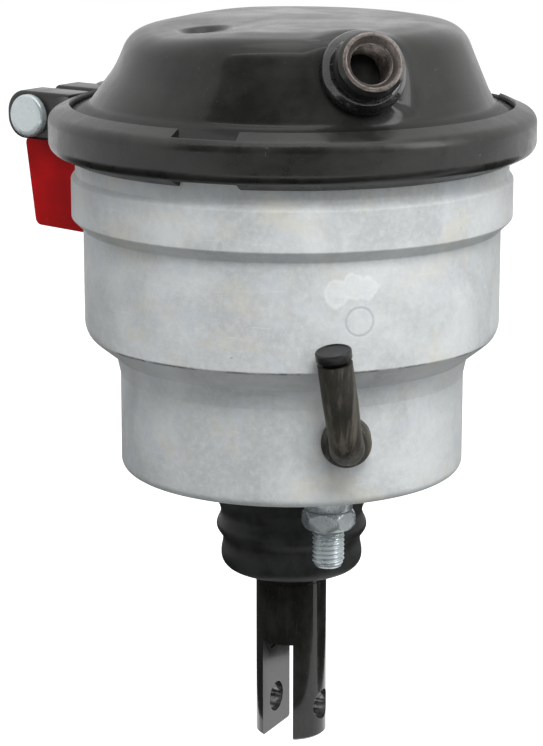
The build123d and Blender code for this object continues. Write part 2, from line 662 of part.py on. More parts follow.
WASHER_BOTTOM_Z = RELIEF_DEPTH - WASHER_THICKNESS
NUT_BOTTOM_Z = WASHER_BOTTOM_Z - STUD_NUT_HEIGHT
NECK_BOTTOM_Z = NUT_BOTTOM_Z - STUD_NECK_LENGTH

with BuildPart() as mounting_studs:
    with BuildSketch(Plane.XY.offset(PLATE_TOP_Z)):
        with STUD_PLACES:
            Circle(STUD_HEAD_R)
    extrude(amount=STUD_HEAD_HEIGHT)
    with BuildSketch(Plane.XY.offset(NECK_BOTTOM_Z)):
        with STUD_PLACES:
            Circle(STUD_R)
    extrude(amount=PLATE_TOP_Z - NECK_BOTTOM_Z)
    with BuildSketch(Plane.XY.offset(STUD_END_Z)):
        with STUD_PLACES:
            Circle(STUD_THREAD_R)
    extrude(amount=NECK_BOTTOM_Z - STUD_END_Z)
    chamfer(mounting_studs.edges().filter_by(GeomType.CIRCLE).group_by(Axis.Z)[0], STUD_CHAMFER)
mounting_studs.part.label = "mounting_studs"

with BuildPart() as stud_washers:
    with BuildSketch(Plane.XY.offset(WASHER_BOTTOM_Z)):
        with STUD_PLACES:
            Circle(WASHER_R)
            Circle(STUD_R + BORE_GAP, mode=Mode.SUBTRACT)
    extrude(amount=WASHER_THICKNESS)
stud_washers.part.label = "stud_washers"

with BuildPart() as stud_nuts:
    with BuildSketch(Plane.XY.offset(NUT_BOTTOM_Z)):
        with STUD_PLACES:
            RegularPolygon(STUD_NUT_FLATS / 2, 6, major_radius=False)
            Circle(STUD_R + THREAD_GAP, mode=Mode.SUBTRACT)
    extrude(amount=STUD_NUT_HEIGHT)
stud_nuts.part.label = "stud_nuts"

# ---------------------------------------------------------------- vent elbow
VENT_CORNER = Vector(VENT_X, VENT_CORNER_Y, VENT_Z)
VENT_UP = Vector(-tan(radians(VENT_LEAN_SIDE)), -tan(radians(VENT_LEAN_OUT)), 1)
VENT_END = VENT_CORNER + VENT_UP * VENT_RISE
VENT_END_PLANE = Plane(origin=VENT_END, z_dir=VENT_UP)
GROMMET_FACE = HOUSING_BASE_R + GROMMET_LIP

with BuildPart() as vent_elbow:
    with BuildLine() as vent_path:
        FilletPolyline(VENT_START, VENT_CORNER, VENT_END, radius=VENT_BEND_R)
    with BuildSketch(VENT_PLANE):
        Circle(VENT_TUBE_R)
        Circle(VENT_BORE_R, mode=Mode.SUBTRACT)
    sweep(path=vent_path.line)
vent_elbow.part.label = "vent_elbow"

with BuildPart() as vent_cap:
    with BuildSketch(VENT_END_PLANE):
        Circle(VENT_CAP_R)
    extrude(amount=VENT_CAP_HEIGHT)
    rims = vent_cap.edges().filter_by(GeomType.CIRCLE)
    fillet(rims, VENT_CAP_EDGE_R)
    with BuildSketch(VENT_END_PLANE.offset(-VENT_CAP_PLUG_LENGTH)):
        Circle(VENT_BORE_R - BORE_GAP)
    extrude(amount=VENT_CAP_PLUG_LENGTH)
vent_cap.part.label = "vent_cap"

with BuildPart() as vent_grommet:
    with BuildSketch(Plane.XZ.offset(GROMMET_FACE)):
        with Locations((VENT_X, VENT_Z)):
            Circle(GROMMET_R)
    extrude(amount=-GROMMET_R)
    with BuildSketch(Plane.XY):
        Circle(HOUSING_BASE_R + FACE_GAP)
    extrude(amount=CREASE_Z, mode=Mode.SUBTRACT)
    with BuildSketch(VENT_PLANE):
        Circle(GROMMET_NECK_R)
    extrude(amount=GROMMET_FACE + VENT_INNER_Y)
    with BuildSketch(VENT_PLANE):
        Circle(VENT_TUBE_R + SEAL_GAP)
    extrude(amount=HOUSING_BASE_R, mode=Mode.SUBTRACT)
vent_grommet.part.label = "vent_grommet"

# ---------------------------------------------------------------- rod guide, bush and wiper
GUIDE_TOP_Z = FLOOR_THICKNESS + GUIDE_FLANGE_THICKNESS

with BuildPart() as rod_guide:
    with BuildSketch(Plane.XZ):
        with BuildLine():
            Polyline(
                (BUSH_R + BORE_GAP, GUIDE_WEB_BOTTOM_Z),
                (GUIDE_TUBE_R - GUIDE_WALL, GUIDE_WEB_BOTTOM_Z),
                (GUIDE_TUBE_R - GUIDE_WALL, -GUIDE_DROP),
                (GUIDE_TUBE_R, -GUIDE_DROP),
                (GUIDE_TUBE_R, FLOOR_THICKNESS),
                (GUIDE_FLANGE_R, FLOOR_THICKNESS),
                (GUIDE_FLANGE_R, GUIDE_TOP_Z),
                (BUSH_R + BORE_GAP, GUIDE_TOP_Z),
                close=True,
            )
        make_face()
    revolve(axis=Axis.Z)
rod_guide.part.label = "rod_guide"

with BuildPart() as guide_bush:
    with BuildSketch(Plane.XZ):
        with BuildLine():
            Polyline(
                (ROD_R + RUNNING_GAP, GUIDE_WEB_BOTTOM_Z),
                (BUSH_R, GUIDE_WEB_BOTTOM_Z),
                (BUSH_R, GUIDE_TOP_Z),
                (BUSH_SHOULDER_R, GUIDE_TOP_Z),
                (BUSH_SHOULDER_R, GUIDE_TOP_Z + BUSH_SHOULDER_HEIGHT),
                (ROD_R + RUNNING_GAP, GUIDE_TOP_Z + BUSH_SHOULDER_HEIGHT),
                close=True,
            )
        make_face()
    revolve(axis=Axis.Z)
guide_bush.part.label = "guide_bush"

with BuildPart() as rod_wiper:
    with BuildSketch(Plane.XY.offset(GUIDE_TOP_Z + BUSH_SHOULDER_HEIGHT)):
        Circle(WIPER_R)
        Circle(ROD_R + SEAL_GAP, mode=Mode.SUBTRACT)
    extrude(amount=WIPER_HEIGHT)
    chamfer(rod_wiper.edges().group_by(Axis.Z)[-1].sort_by(SortBy.RADIUS)[-1], WIPER_CHAMFER)
rod_wiper.part.label = "rod_wiper"

# ---------------------------------------------------------------- push plate, rod, collar and yoke
with BuildPart() as push_plate:
    with BuildSketch(Plane.XZ):
        with BuildLine():
            top = FilletPolyline(
                (ROD_SPIGOT_R + BORE_GAP, PUSH_PLATE_TOP_Z),
                (PUSH_PLATE_R, PUSH_PLATE_TOP_Z),
                (PUSH_PLATE_R, PUSH_PLATE_TOP_Z - PUSH_PLATE_RIM),
                radius=PUSH_PLATE_BEND_R,
            )
            under = FilletPolyline(
                (ROD_SPIGOT_R + BORE_GAP, PUSH_PLATE_BOTTOM_Z),
                (PUSH_PLATE_R - PUSH_PLATE_STOCK, PUSH_PLATE_BOTTOM_Z),
                (PUSH_PLATE_R - PUSH_PLATE_STOCK, PUSH_PLATE_TOP_Z - PUSH_PLATE_RIM),
                radius=PUSH_PLATE_BEND_R - PUSH_PLATE_STOCK,
            )
            Line(top @ 0, under @ 0)
            Line(top @ 1, under @ 1)
        make_face()
    revolve(axis=Axis.Z)
push_plate.part.label = "push_plate"

COLLAR_BOTTOM_Z = PUSH_PLATE_BOTTOM_Z - COLLAR_THICKNESS
ROD_END_Z = SLOT_TOP_Z + ROD_CHAMFER

with BuildPart() as push_rod:
    with BuildSketch(Plane.XY.offset(ROD_END_Z)):
        Circle(ROD_THREAD_R)
    extrude(amount=YOKE_TOP_Z - ROD_END_Z)
    with BuildSketch(Plane.XY.offset(YOKE_TOP_Z)):
        Circle(ROD_R)
    extrude(amount=PUSH_PLATE_BOTTOM_Z - YOKE_TOP_Z)
    with BuildSketch(Plane.XY.offset(PUSH_PLATE_BOTTOM_Z)):
        Circle(ROD_SPIGOT_R)
    extrude(amount=PUSH_PLATE_STOCK)
    chamfer(push_rod.edges().filter_by(GeomType.CIRCLE).group_by(Axis.Z)[0], ROD_CHAMFER)
push_rod.part.label = "push_rod"

with BuildPart() as rod_collar:
    with BuildSketch(Plane.XY.offset(COLLAR_BOTTOM_Z)):
        Circle(COLLAR_R)
        Circle(ROD_R + THREAD_GAP, mode=Mode.SUBTRACT)
    extrude(amount=COLLAR_THICKNESS)
    chamfer(rod_collar.edges().group_by(Axis.Z)[0].sort_by(SortBy.RADIUS)[-1], COLLAR_CHAMFER)
rod_collar.part.label = "rod_collar"

YOKE_PLANE = Plane(
    origin=(0, 0, 0),
    x_dir=(-sin(radians(YOKE_ANGLE)), cos(radians(YOKE_ANGLE)), 0),
    z_dir=(cos(radians(YOKE_ANGLE)), sin(radians(YOKE_ANGLE)), 0),
)

with BuildPart() as yoke:
    with BuildSketch(Plane.XY.offset(YOKE_END_Z)):
        Circle(YOKE_R)
    extrude(amount=YOKE_TOP_Z - YOKE_END_Z)
    chamfer(yoke.edges().filter_by(GeomType.CIRCLE), YOKE_EDGE)
    with BuildSketch(Plane.XY.offset(YOKE_GROOVE_Z - YOKE_GROOVE_WIDTH / 2)):
        Circle(YOKE_R)
        Circle(YOKE_R - YOKE_GROOVE_DEPTH, mode=Mode.SUBTRACT)
    extrude(amount=YOKE_GROOVE_WIDTH, mode=Mode.SUBTRACT)
    with BuildSketch(YOKE_PLANE.offset(-SLOT_WIDTH / 2)):
        with Locations((0, (SLOT_TOP_Z + YOKE_END_Z) / 2)):
            Rectangle(YOKE_R * 3, SLOT_LENGTH)
    extrude(amount=SLOT_WIDTH, mode=Mode.SUBTRACT)
    with BuildSketch(Plane.XY.offset(SLOT_TOP_Z - TAPPED_RUNOUT)):
        Circle(ROD_THREAD_R + THREAD_GAP)
    extrude(amount=YOKE_TOP_Z - SLOT_TOP_Z + TAPPED_RUNOUT, mode=Mode.SUBTRACT)
    with BuildSketch(YOKE_PLANE.offset(-YOKE_R)):
        with Locations((0, PIN_Z)):
            Circle(PIN_HOLE_R)
    extrude(amount=YOKE_R * 2, mode=Mode.SUBTRACT)
yoke.part.label = "yoke"

# ---------------------------------------------------------------- return spring
SPRING_BOTTOM_Z = FLOOR_THICKNESS + SPRING_WIRE_R + FACE_GAP
SPRING_TOP_Z = PUSH_PLATE_BOTTOM_Z - SPRING_WIRE_R - FACE_GAP

with BuildPart() as return_spring:
    with BuildLine(Plane.XY.offset(SPRING_BOTTOM_Z)) as coil:
        Helix(pitch=SPRING_PITCH, height=SPRING_TOP_Z - SPRING_BOTTOM_Z, radius=SPRING_R)
    with BuildSketch(Plane(origin=coil.line @ 0, z_dir=coil.line % 0)):
        Circle(SPRING_WIRE_R)
    sweep(is_frenet=True)
return_spring.part.label = "return_spring"

# ---------------------------------------------------------------- diaphragm
slack_points, slack_radii = shell_face(COVER_STOCK + DIAPHRAGM_WALL_GAP)
fold_points, fold_radii = shell_face(COVER_STOCK + DIAPHRAGM_WALL_GAP + DIAPHRAGM_STOCK)
BEAD_TOP_DEPTH = RIM_DEPTH + COVER_STOCK + FACE_GAP
SHEET_BOTTOM_Z = PUSH_PLATE_TOP_Z + FACE_GAP
SHEET_TOP_Z = SHEET_BOTTOM_Z + DIAPHRAGM_STOCK
BEAD_BOTTOM_Z = RIM_TOP_Z + FACE_GAP

with BuildPart() as diaphragm:
    with BuildSketch(Plane.XZ):
        with BuildLine():
            outer = FilletPolyline(
                (0, SHEET_TOP_Z),
                (slack_points[2][0] - DIAPHRAGM_STOCK, SHEET_TOP_Z),
                (slack_points[3][0] - DIAPHRAGM_STOCK, slack_points[3][1]),
                (BEAD_INNER_R, JOINT_Z + ring_face(BEAD_INNER_R, BEAD_TOP_DEPTH) - DIAPHRAGM_STOCK / 2),
                (FLANGE_R, JOINT_Z + ring_face(FLANGE_R, BEAD_TOP_DEPTH)),
                radius=[DIAPHRAGM_STOCK * 2, DIAPHRAGM_STOCK * 2, DIAPHRAGM_STOCK],
            )
            inner = FilletPolyline(
                (0, SHEET_BOTTOM_Z),
                (slack_points[2][0] - FOLD_WIDTH, SHEET_BOTTOM_Z),
                (slack_points[3][0] - FOLD_WIDTH, BEAD_BOTTOM_Z),
                (FLANGE_R, BEAD_BOTTOM_Z),
                radius=[DIAPHRAGM_STOCK, DIAPHRAGM_STOCK],
            )
            Line(outer @ 1, inner @ 1)
            Line(outer @ 0, inner @ 0)
        make_face()
    revolve(axis=Axis.Z)
diaphragm.part.label = "diaphragm"

# ---------------------------------------------------------------- bellows
LIP_TOP_Z = BELLOWS_BOTTOM_Z + BELLOWS_LIP
BELLOWS_CREST_R = [BELLOWS_BEAD_R + proud for proud in BELLOWS_CREST_PROUD]
BELLOWS_CREST_Z = [BELLOWS_BOTTOM_Z + rise for rise in BELLOWS_CREST_RISE]
BELLOWS_VALLEY_R = [BELLOWS_BEAD_R - depth for depth in BELLOWS_VALLEY_DEPTH]
VALLEY_1 = (BELLOWS_VALLEY_R[0], (BELLOWS_CREST_Z[0] + BELLOWS_CREST_Z[1]) / 2)
VALLEY_2 = (BELLOWS_VALLEY_R[1], (BELLOWS_CREST_Z[1] + BELLOWS_CREST_Z[2]) / 2)
BELLOWS_TOP_Z = BELLOWS_SEAT_DEPTH - FACE_GAP
BEAD_END_Z = BELLOWS_TOP_Z - BELLOWS_BEAD_HEIGHT
BEAD_BORE_R = GUIDE_TUBE_R + SEAL_GAP
LIP_BORE_R = YOKE_R + SEAL_GAP


def bellows_wave(depth):
    """The waves of the bellows' wall, a depth inside its skin, from bead to foot."""
    return [
        (BELLOWS_BEAD_R - depth, BEAD_END_Z),
        (BELLOWS_CREST_R[0] - depth, BELLOWS_CREST_Z[0]),
        (VALLEY_1[0] - depth, VALLEY_1[1]),
        (BELLOWS_CREST_R[1] - depth, BELLOWS_CREST_Z[1]),
        (VALLEY_2[0] - depth, VALLEY_2[1]),
        (BELLOWS_CREST_R[2] - depth, BELLOWS_CREST_Z[2]),
    ]


with BuildPart() as bellows:
    with BuildSketch(Plane.XZ):
        with BuildLine():
            Polyline(
                (BEAD_BORE_R, BEAD_END_Z),
                (BEAD_BORE_R, BELLOWS_TOP_Z),
                (BELLOWS_BEAD_R, BELLOWS_TOP_Z),
                (BELLOWS_BEAD_R, BEAD_END_Z),
            )
            skin = Spline(*bellows_wave(0), tangents=((0, -1), (0, -1)))
            foot_r = BELLOWS_CREST_R[2] - (BELLOWS_CREST_Z[2] - BELLOWS_BOTTOM_Z)
            foot = RadiusArc(
                skin @ 1,
                (foot_r, BELLOWS_BOTTOM_Z),
                BELLOWS_CREST_Z[2] - BELLOWS_BOTTOM_Z,
            )
            Polyline(
                (foot_r, BELLOWS_BOTTOM_Z),
                (LIP_BORE_R, BELLOWS_BOTTOM_Z),
                (LIP_BORE_R, LIP_TOP_Z),
                (LIP_BORE_R + BELLOWS_STOCK, LIP_TOP_Z),
                (LIP_BORE_R + BELLOWS_STOCK, BELLOWS_BOTTOM_Z + BELLOWS_STOCK),
                (foot_r, BELLOWS_BOTTOM_Z + BELLOWS_STOCK),
            )
            lining = Spline(*bellows_wave(BELLOWS_STOCK), tangents=((0, -1), (0, -1)))
            RadiusArc(
                lining @ 1,
                (foot_r, BELLOWS_BOTTOM_Z + BELLOWS_STOCK),
                BELLOWS_CREST_Z[2] - BELLOWS_BOTTOM_Z - BELLOWS_STOCK,
            )
            Line(lining @ 0, (BEAD_BORE_R, BEAD_END_Z))
        make_face()
    revolve(axis=Axis.Z)
bellows.part.label = "bellows"

# ---------------------------------------------------------------- export
for piece in (
    pressure_cover,
    air_port,
    port_weld,
    housing,
    clamp_ring,
    clamp_bolt,
    clamp_washer,
    clamp_nut,
    gap_guard,
    stud_plate,
    mounting_studs,
    stud_washers,
    stud_nuts,
    vent_elbow,
    vent_cap,
    vent_grommet,
    rod_guide,
    guide_bush,
    rod_wiper,
    push_plate,
    push_rod,
    rod_collar,
    yoke,
    return_spring,
    diaphragm,
    bellows,
):
    export_step(piece.part, f"parts/{piece.part.label}.step")
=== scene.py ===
"""Air brake chamber, laid out as a Blender add-on and run as a script.

Each piece has an operator, which builds its surface with numpy and gives it a procedural
finish. The frame has its origin at the centre of the mounting face, +Z towards the pressure
cover and -Y towards the air port. Surfaces are worked out in millimetres, and solid() puts them
into meshes in metres. The stage is in metres.
"""

import json
from functools import cache
from math import cos, pi, radians, sin, sqrt, tan

import bmesh
import bpy
import numpy as np
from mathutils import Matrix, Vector


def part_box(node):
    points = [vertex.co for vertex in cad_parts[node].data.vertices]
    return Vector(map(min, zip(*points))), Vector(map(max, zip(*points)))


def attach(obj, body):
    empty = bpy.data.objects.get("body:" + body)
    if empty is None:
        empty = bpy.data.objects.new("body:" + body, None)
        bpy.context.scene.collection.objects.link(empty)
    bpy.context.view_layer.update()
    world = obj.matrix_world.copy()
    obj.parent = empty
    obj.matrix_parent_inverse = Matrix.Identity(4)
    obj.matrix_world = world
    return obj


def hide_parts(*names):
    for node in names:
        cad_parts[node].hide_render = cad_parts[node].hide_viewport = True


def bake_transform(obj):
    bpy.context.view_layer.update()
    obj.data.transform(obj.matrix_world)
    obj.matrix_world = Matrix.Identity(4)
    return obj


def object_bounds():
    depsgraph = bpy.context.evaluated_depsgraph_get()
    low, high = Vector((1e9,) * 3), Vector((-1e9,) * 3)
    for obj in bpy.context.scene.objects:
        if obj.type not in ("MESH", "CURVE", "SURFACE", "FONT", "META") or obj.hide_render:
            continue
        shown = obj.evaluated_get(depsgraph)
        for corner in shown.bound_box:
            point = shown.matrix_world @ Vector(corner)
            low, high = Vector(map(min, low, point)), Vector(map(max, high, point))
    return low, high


bl_info = {
    "name": "Air brake chamber",
    "version": (1, 0, 0),
    "blender": (4, 5, 0),
    "location": "3D View > Sidebar > Chamber",
    "description": "Builds a clamped diaphragm brake chamber piece by piece",
    "category": "Object",
}

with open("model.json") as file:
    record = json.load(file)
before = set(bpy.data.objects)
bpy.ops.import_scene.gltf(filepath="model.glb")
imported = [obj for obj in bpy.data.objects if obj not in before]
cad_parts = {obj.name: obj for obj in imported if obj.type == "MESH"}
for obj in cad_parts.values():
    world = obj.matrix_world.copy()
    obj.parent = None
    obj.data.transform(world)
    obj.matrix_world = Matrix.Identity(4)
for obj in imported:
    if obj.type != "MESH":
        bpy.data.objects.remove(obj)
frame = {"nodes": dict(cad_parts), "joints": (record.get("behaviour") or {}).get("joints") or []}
CAD_LOW, CAD_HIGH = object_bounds()
STROKE = frame["joints"][0]["range_m"][1]
NODES = frame["nodes"]
MM = 0.001
MERGE = 0.002 * MM  # points closer than this become one
FIXED_BODY = "chamber"
MOVING_BODY = "push_rod"


# ------------------------------------------------------------------ sizes read from the frame
def box(node):
    """The two corners of a node's box, in millimetres."""
    low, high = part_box(node)
    return low / MM, high / MM


RIM_R, RIM_TOP = box("housing")[1].xz
COVER_TOP = box("pressure_cover")[1].z
STUDS_LOW, STUDS_HIGH = box("mounting_studs")


# ------------------------------------------------------------------ properties
def length_property(name, description, millimetres):
    """A length that the panel shows, given in millimetres."""
    return bpy.props.FloatProperty(
        name=name, description=description, default=millimetres * MM, unit="LENGTH"
    )


def colour_property(name, description, *colour):
    """A colour that the panel shows."""
    return bpy.props.FloatVectorProperty(
        name=name, description=description, default=colour, size=3, subtype="COLOR"
    )


class ChamberSizes(bpy.types.PropertyGroup):
    """Sizes of the dressed pieces that a user would change."""

    base_radius: length_property("Housing base radius", "Outer radius of the lower cylinder", 65.7)
    body_radius: length_property("Housing body radius", "Outer radius of the upper cylinder", 79.0)
    band_radius: length_property("Housing band radius", "Outer radius of the band under the rim", 83.4)
    ring_radius: length_property("Clamp ring radius", "Outer radius of the clamp ring", 91.8)
    ring_stock: length_property("Clamp ring stock", "Thickness of the clamp ring's steel", 2.5)
    thread_pitch: length_property("Stud thread pitch", "Pitch of the mounting studs' thread", 1.75)
    port_pitch: length_property("Port thread pitch", "Pitch of the air port's thread", 1.5)
    cast_ripple: length_property("Casting unevenness", "Height of the slow waves in the cast skin", 0.12)


class ChamberFinish(bpy.types.PropertyGroup):
    """Colours of the finishes."""

    aluminium: colour_property("Cast aluminium", "Colour of the blasted casting", 0.56, 0.58, 0.58)
    black: colour_property("Black paint", "Colour of the gloss paint", 0.011, 0.011, 0.010)
    ring: colour_property("Ring paint", "Colour of the clamp ring's satin paint", 0.011, 0.011, 0.010)
    red: colour_property("Red plastic", "Colour of the moulded gap guard", 0.50, 0.004, 0.006)
    rubber: colour_property("Bellows rubber", "Colour of the bellows", 0.022, 0.023, 0.023)
    zinc: colour_property("Zinc plate", "Colour of the plated fasteners", 0.60, 0.66, 0.67)


def size(key):
    """A size of the panel, in millimetres."""
    return getattr(bpy.context.scene.chamber_sizes, key) / MM


def tinted(colour, factor):
    """A colour made lighter or darker by a factor."""
    return tuple(min(1.0, c * factor) for c in colour)


# ------------------------------------------------------------------ numpy surfaces
def around(radius, angle, height):
    """Points at a radius from the chamber's axis, an angle in radians and a height."""
    x, y = radius * np.cos(angle), radius * np.sin(angle)
    return np.stack(np.broadcast_arrays(x, y, height), axis=-1)


def from_axis(points):
    """Distance of points from the chamber's axis."""
    return np.hypot(points[..., 0], points[..., 1])


def polar(angle, radius, height):
    """A point at an angle in degrees round the chamber's axis, a radius from it and a height."""
    return around(radius, radians(angle), height)


def rounded(corners, radii, steps=6):
    """An open outline whose inner corners are arcs: each arc touches its two sides, and its
    points are the circle about the centre on the corner's bisector."""
    corners = np.asarray(corners, float)
    parts = [corners[:1]]
    for before, at, after, r in zip(corners, corners[1:], corners[2:], radii):
        a = (before - at) / np.linalg.norm(before - at)
        b = (after - at) / np.linalg.norm(after - at)
        half = np.arccos(np.clip(a @ b, -1, 1)) / 2
        if r <= 0 or half > pi / 2 - 1e-4:
            parts.append(at[None])
            continue
        reach = r / np.tan(half)
        centre = at + (a + b) / np.linalg.norm(a + b) * r / np.sin(half)
        start = at + a * reach - centre
        end = at + b * reach - centre
        sweep = np.arctan2(start[0] * end[1] - start[1] * end[0], start @ end)
        t = np.arctan2(start[1], start[0]) + np.linspace(0, sweep, steps + 1)
        parts.append(centre + around(r, t, 0)[:, :2])
    parts.append(corners[-1:])
    return np.concatenate(parts)


def spread(outline, step):
    """The outline with extra points on its long runs, none further apart than step."""
    parts = []
    for a, b in zip(outline, outline[1:]):
        n = max(1, int(np.ceil(np.linalg.norm(b - a) / step)))
        parts.append(a + (b - a) * np.arange(n)[:, None] / n)
    parts.append(outline[-1:])
    return np.concatenate(parts)


def turned(outline, segments=192):
    """A surface of revolution: each (radius, height) point carried once round the Z axis."""
    t = np.linspace(0, 2 * pi, segments, endpoint=False)
    return around(outline[:, :1], t, outline[:, 1:])


def grid_faces(rows, columns, wrap_rows=False, wrap_columns=True):
    """Quads joining a grid's neighbours, with either direction closed on itself."""
    i = np.arange(rows if wrap_rows else rows - 1)
    j = np.arange(columns if wrap_columns else columns - 1)
    i, j = np.meshgrid(i, j, indexing="ij")
    i2, j2 = (i + 1) % rows, (j + 1) % columns
    quads = [i * columns + j, i * columns + j2, i2 * columns + j2, i2 * columns + j]
    return np.stack(quads, axis=-1).reshape(-1, 4)


def bell(distance, inner, outer):
    """A smooth step that is 1 within inner and 0 past outer."""
    t = np.clip((outer - distance) / (outer - inner), 0, 1)
    return t * t * (3 - 2 * t)


def waves(points, length, seed):
    """Slow unevenness from -1 to 1: five sine waves of about one length, in random directions."""
    rng = np.random.default_rng(seed)
    flat = points.reshape(-1, 3)
    total = np.zeros(len(flat))
    for _ in range(5):
        direction = rng.normal(size=3)
        direction *= 2 * pi / (np.linalg.norm(direction) * length * rng.uniform(0.7, 1.4))
        total += np.sin(flat @ direction + rng.uniform(0, 2 * pi))
    return (total / 5).reshape(points.shape[:-1])


def placed(points, origin, x_axis, z_axis):
    """Points moved from a local frame to one with this origin, X axis and Z axis."""
    x = np.asarray(x_axis, float) / np.linalg.norm(x_axis)
    z = np.asarray(z_axis, float) / np.linalg.norm(z_axis)
    x = x - z * (x @ z)
    x /= np.linalg.norm(x)
    y = np.cross(z, x)
    return np.asarray(origin) + points @ np.stack([x, y, z])


def surface(grid, **wraps):
    """A grid with the faces that join its neighbours."""
    return grid, grid_faces(grid.shape[0], grid.shape[1], **wraps)


def seat(obj, node, body):
    """Link an object to the scene, and where stated hide the node it replaces and attach it to the body
    it rides on.
    """
    bpy.context.scene.collection.objects.link(obj)
    if node:
        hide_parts(node)
    if body:
        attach(obj, body)
    return obj


def solid(name, parts, material, slot, node=None, body=FIXED_BODY, angle=40):
    """A piece from (points grid, faces) parts in millimetres: doubles merged, normals outwards,
    shaded smooth with edges sharper than the angle kept crisp."""
    mesh = bpy.data.meshes.new(name)
    points, faces, offset = [], [], 0
    for grid, quads in parts:
        flat = np.asarray(grid, float).reshape(-1, 3)
        points.append(flat * MM)
        faces.extend((np.asarray(quads) + offset).tolist())
        offset += len(flat)
    mesh.from_pydata(np.concatenate(points), [], faces)
    bm = bmesh.new()
    bm.from_mesh(mesh)
    bmesh.ops.remove_doubles(bm, verts=bm.verts, dist=MERGE)
    bmesh.ops.dissolve_degenerate(bm, edges=bm.edges, dist=MERGE / 20)
    bmesh.ops.recalc_face_normals(bm, faces=bm.faces)
    bm.to_mesh(mesh)
    bm.free()
    mesh.materials.append(material)
    mesh.shade_smooth()
    mesh.set_sharp_from_angle(angle=radians(angle))
    return seat(bpy.data.objects.new(name, mesh), node, body)


def closed_outline(corners, radii, steps=5):
    """A closed outline with every corner rounded: it starts half-way along its last side."""
    corners = np.asarray(corners, float)
    start = (corners[-1] + corners[0]) / 2
    ring = np.concatenate([start[None], corners, start[None]])
    return rounded(ring, radii, steps)[:-1]


def tube(path, radii, segments=32):
    """A tube round a path of points: at each point a circle square to the path, its X axis
    carried along without twist; radii may change along it."""
    path = np.asarray(path, float)
    tangent = np.gradient(path, axis=0)
    tangent /= np.linalg.norm(tangent, axis=1)[:, None]
    side = np.cross(tangent[0], [0.13, 0.21, 0.97])
    sides = []
    for d in tangent:
        side = side - d * (side @ d)
        side = side / np.linalg.norm(side)
        sides.append(side)
    sides = np.array(sides)
    other = np.cross(tangent, sides)
    t = np.linspace(0, 2 * pi, segments, endpoint=False)
    r = np.broadcast_to(np.asarray(radii, float), len(path))[:, None, None]
    ring = np.cos(t)[None, :, None] * sides[:, None] + np.sin(t)[None, :, None] * other[:, None]
    return path[:, None] + r * ring


def fan(rim):
    """A flat cap over a closed rim: its points and their middle, joined as triangles."""
    rim = np.asarray(rim)
    n = len(rim)
    points = np.concatenate([rim, rim.mean(axis=0)[None]])
    i = np.arange(n)
    return points, np.stack([i, (i + 1) % n, np.full(n, n)], axis=1)


def thread_wall(root, crest, pitch, bottom, top, segments=48, per_turn=8):
    """A threaded cylinder: its radius swings from root to crest as a flattened triangle wave of
    height over pitch less angle over a turn, and fades out over the last turn at each end."""
    rows = int((top - bottom) / pitch * per_turn) + 1
    z = np.linspace(bottom, top, rows)[:, None]
    t = np.linspace(0, 2 * pi, segments, endpoint=False)[None]
    phase = (z / pitch - t / (2 * pi)) % 1.0
    steep, root_flat, run_out = 1.35, 0.17, 0.6 * pitch
    wave = np.clip(steep * (1 - np.abs(2 * phase - 1)) - root_flat, 0, 1)
    fade = np.clip(np.minimum(z - bottom, top - z) / run_out, 0, 1)
    return around(root + (crest - root) * wave * fade, t, z)


def hexagon_reach(t, flats):
    """Distance from a hexagon's middle to its side, at angle t: half the flats over the cosine
    of the angle from the nearest flat."""
    nearest = (t + pi / 6) % (pi / 3) - pi / 6
    return flats / 2 / np.cos(nearest)


def hex_nut(flats, bore, height, chamfer=0.24, segments=96):
    """A hexagon nut: at each height the lesser of the hexagon and a cone that rounds its
    corners at both faces, with a bore through it."""
    t = np.linspace(0, 2 * pi, segments, endpoint=False)
    at_face, at_corner, slope = 0.975, 0.992, 2.4 / tan(radians(30))
    blunt = flats / 2 / cos(pi / 6) * at_corner
    z = np.array([0, 0.05, 0.12, 0.2, 0.35, 0.65, 0.8, 0.88, 0.95, 1.0])[:, None] * height
    cone = flats / 2 * at_face + np.minimum(z, height - z) * chamfer * slope
    side = np.minimum(hexagon_reach(t, flats), np.minimum(cone, blunt))
    lead, mouth = 0.1 * height, bore + 0.09 * height
    hole = np.array([(mouth, height), (bore, height - lead), (bore, lead), (mouth, 0)])
    return np.concatenate([around(side, t, z), turned(hole, segments)])


def softened_copy(node, name, material, slot, body, width, segments=3, angle=30):
    """A copy of a CAD node with its flat faces made whole and its edges rolled over."""
    mesh = NODES[node].data.copy()
    mesh.name = name
    bm = bmesh.new()
    bm.from_mesh(mesh)
    bmesh.ops.remove_doubles(bm, verts=bm.verts, dist=MERGE)
    bmesh.ops.dissolve_limit(
        bm, angle_limit=radians(0.8), verts=bm.verts, edges=bm.edges, use_dissolve_boundaries=False
    )
    bm.to_mesh(mesh)
    bm.free()
    mesh.materials.clear()
    mesh.materials.append(material)
    mesh.shade_smooth()
    mesh.set_sharp_from_angle(angle=radians(angle))
    obj = seat(bpy.data.objects.new(name, mesh), node, body)
    bevel = obj.modifiers.new("rolled_edges", "BEVEL")
    bevel.width = width * MM
    bevel.segments = segments
    bevel.limit_method = "ANGLE"
    bevel.angle_limit = radians(angle)
    bevel.harden_normals = True
    return obj


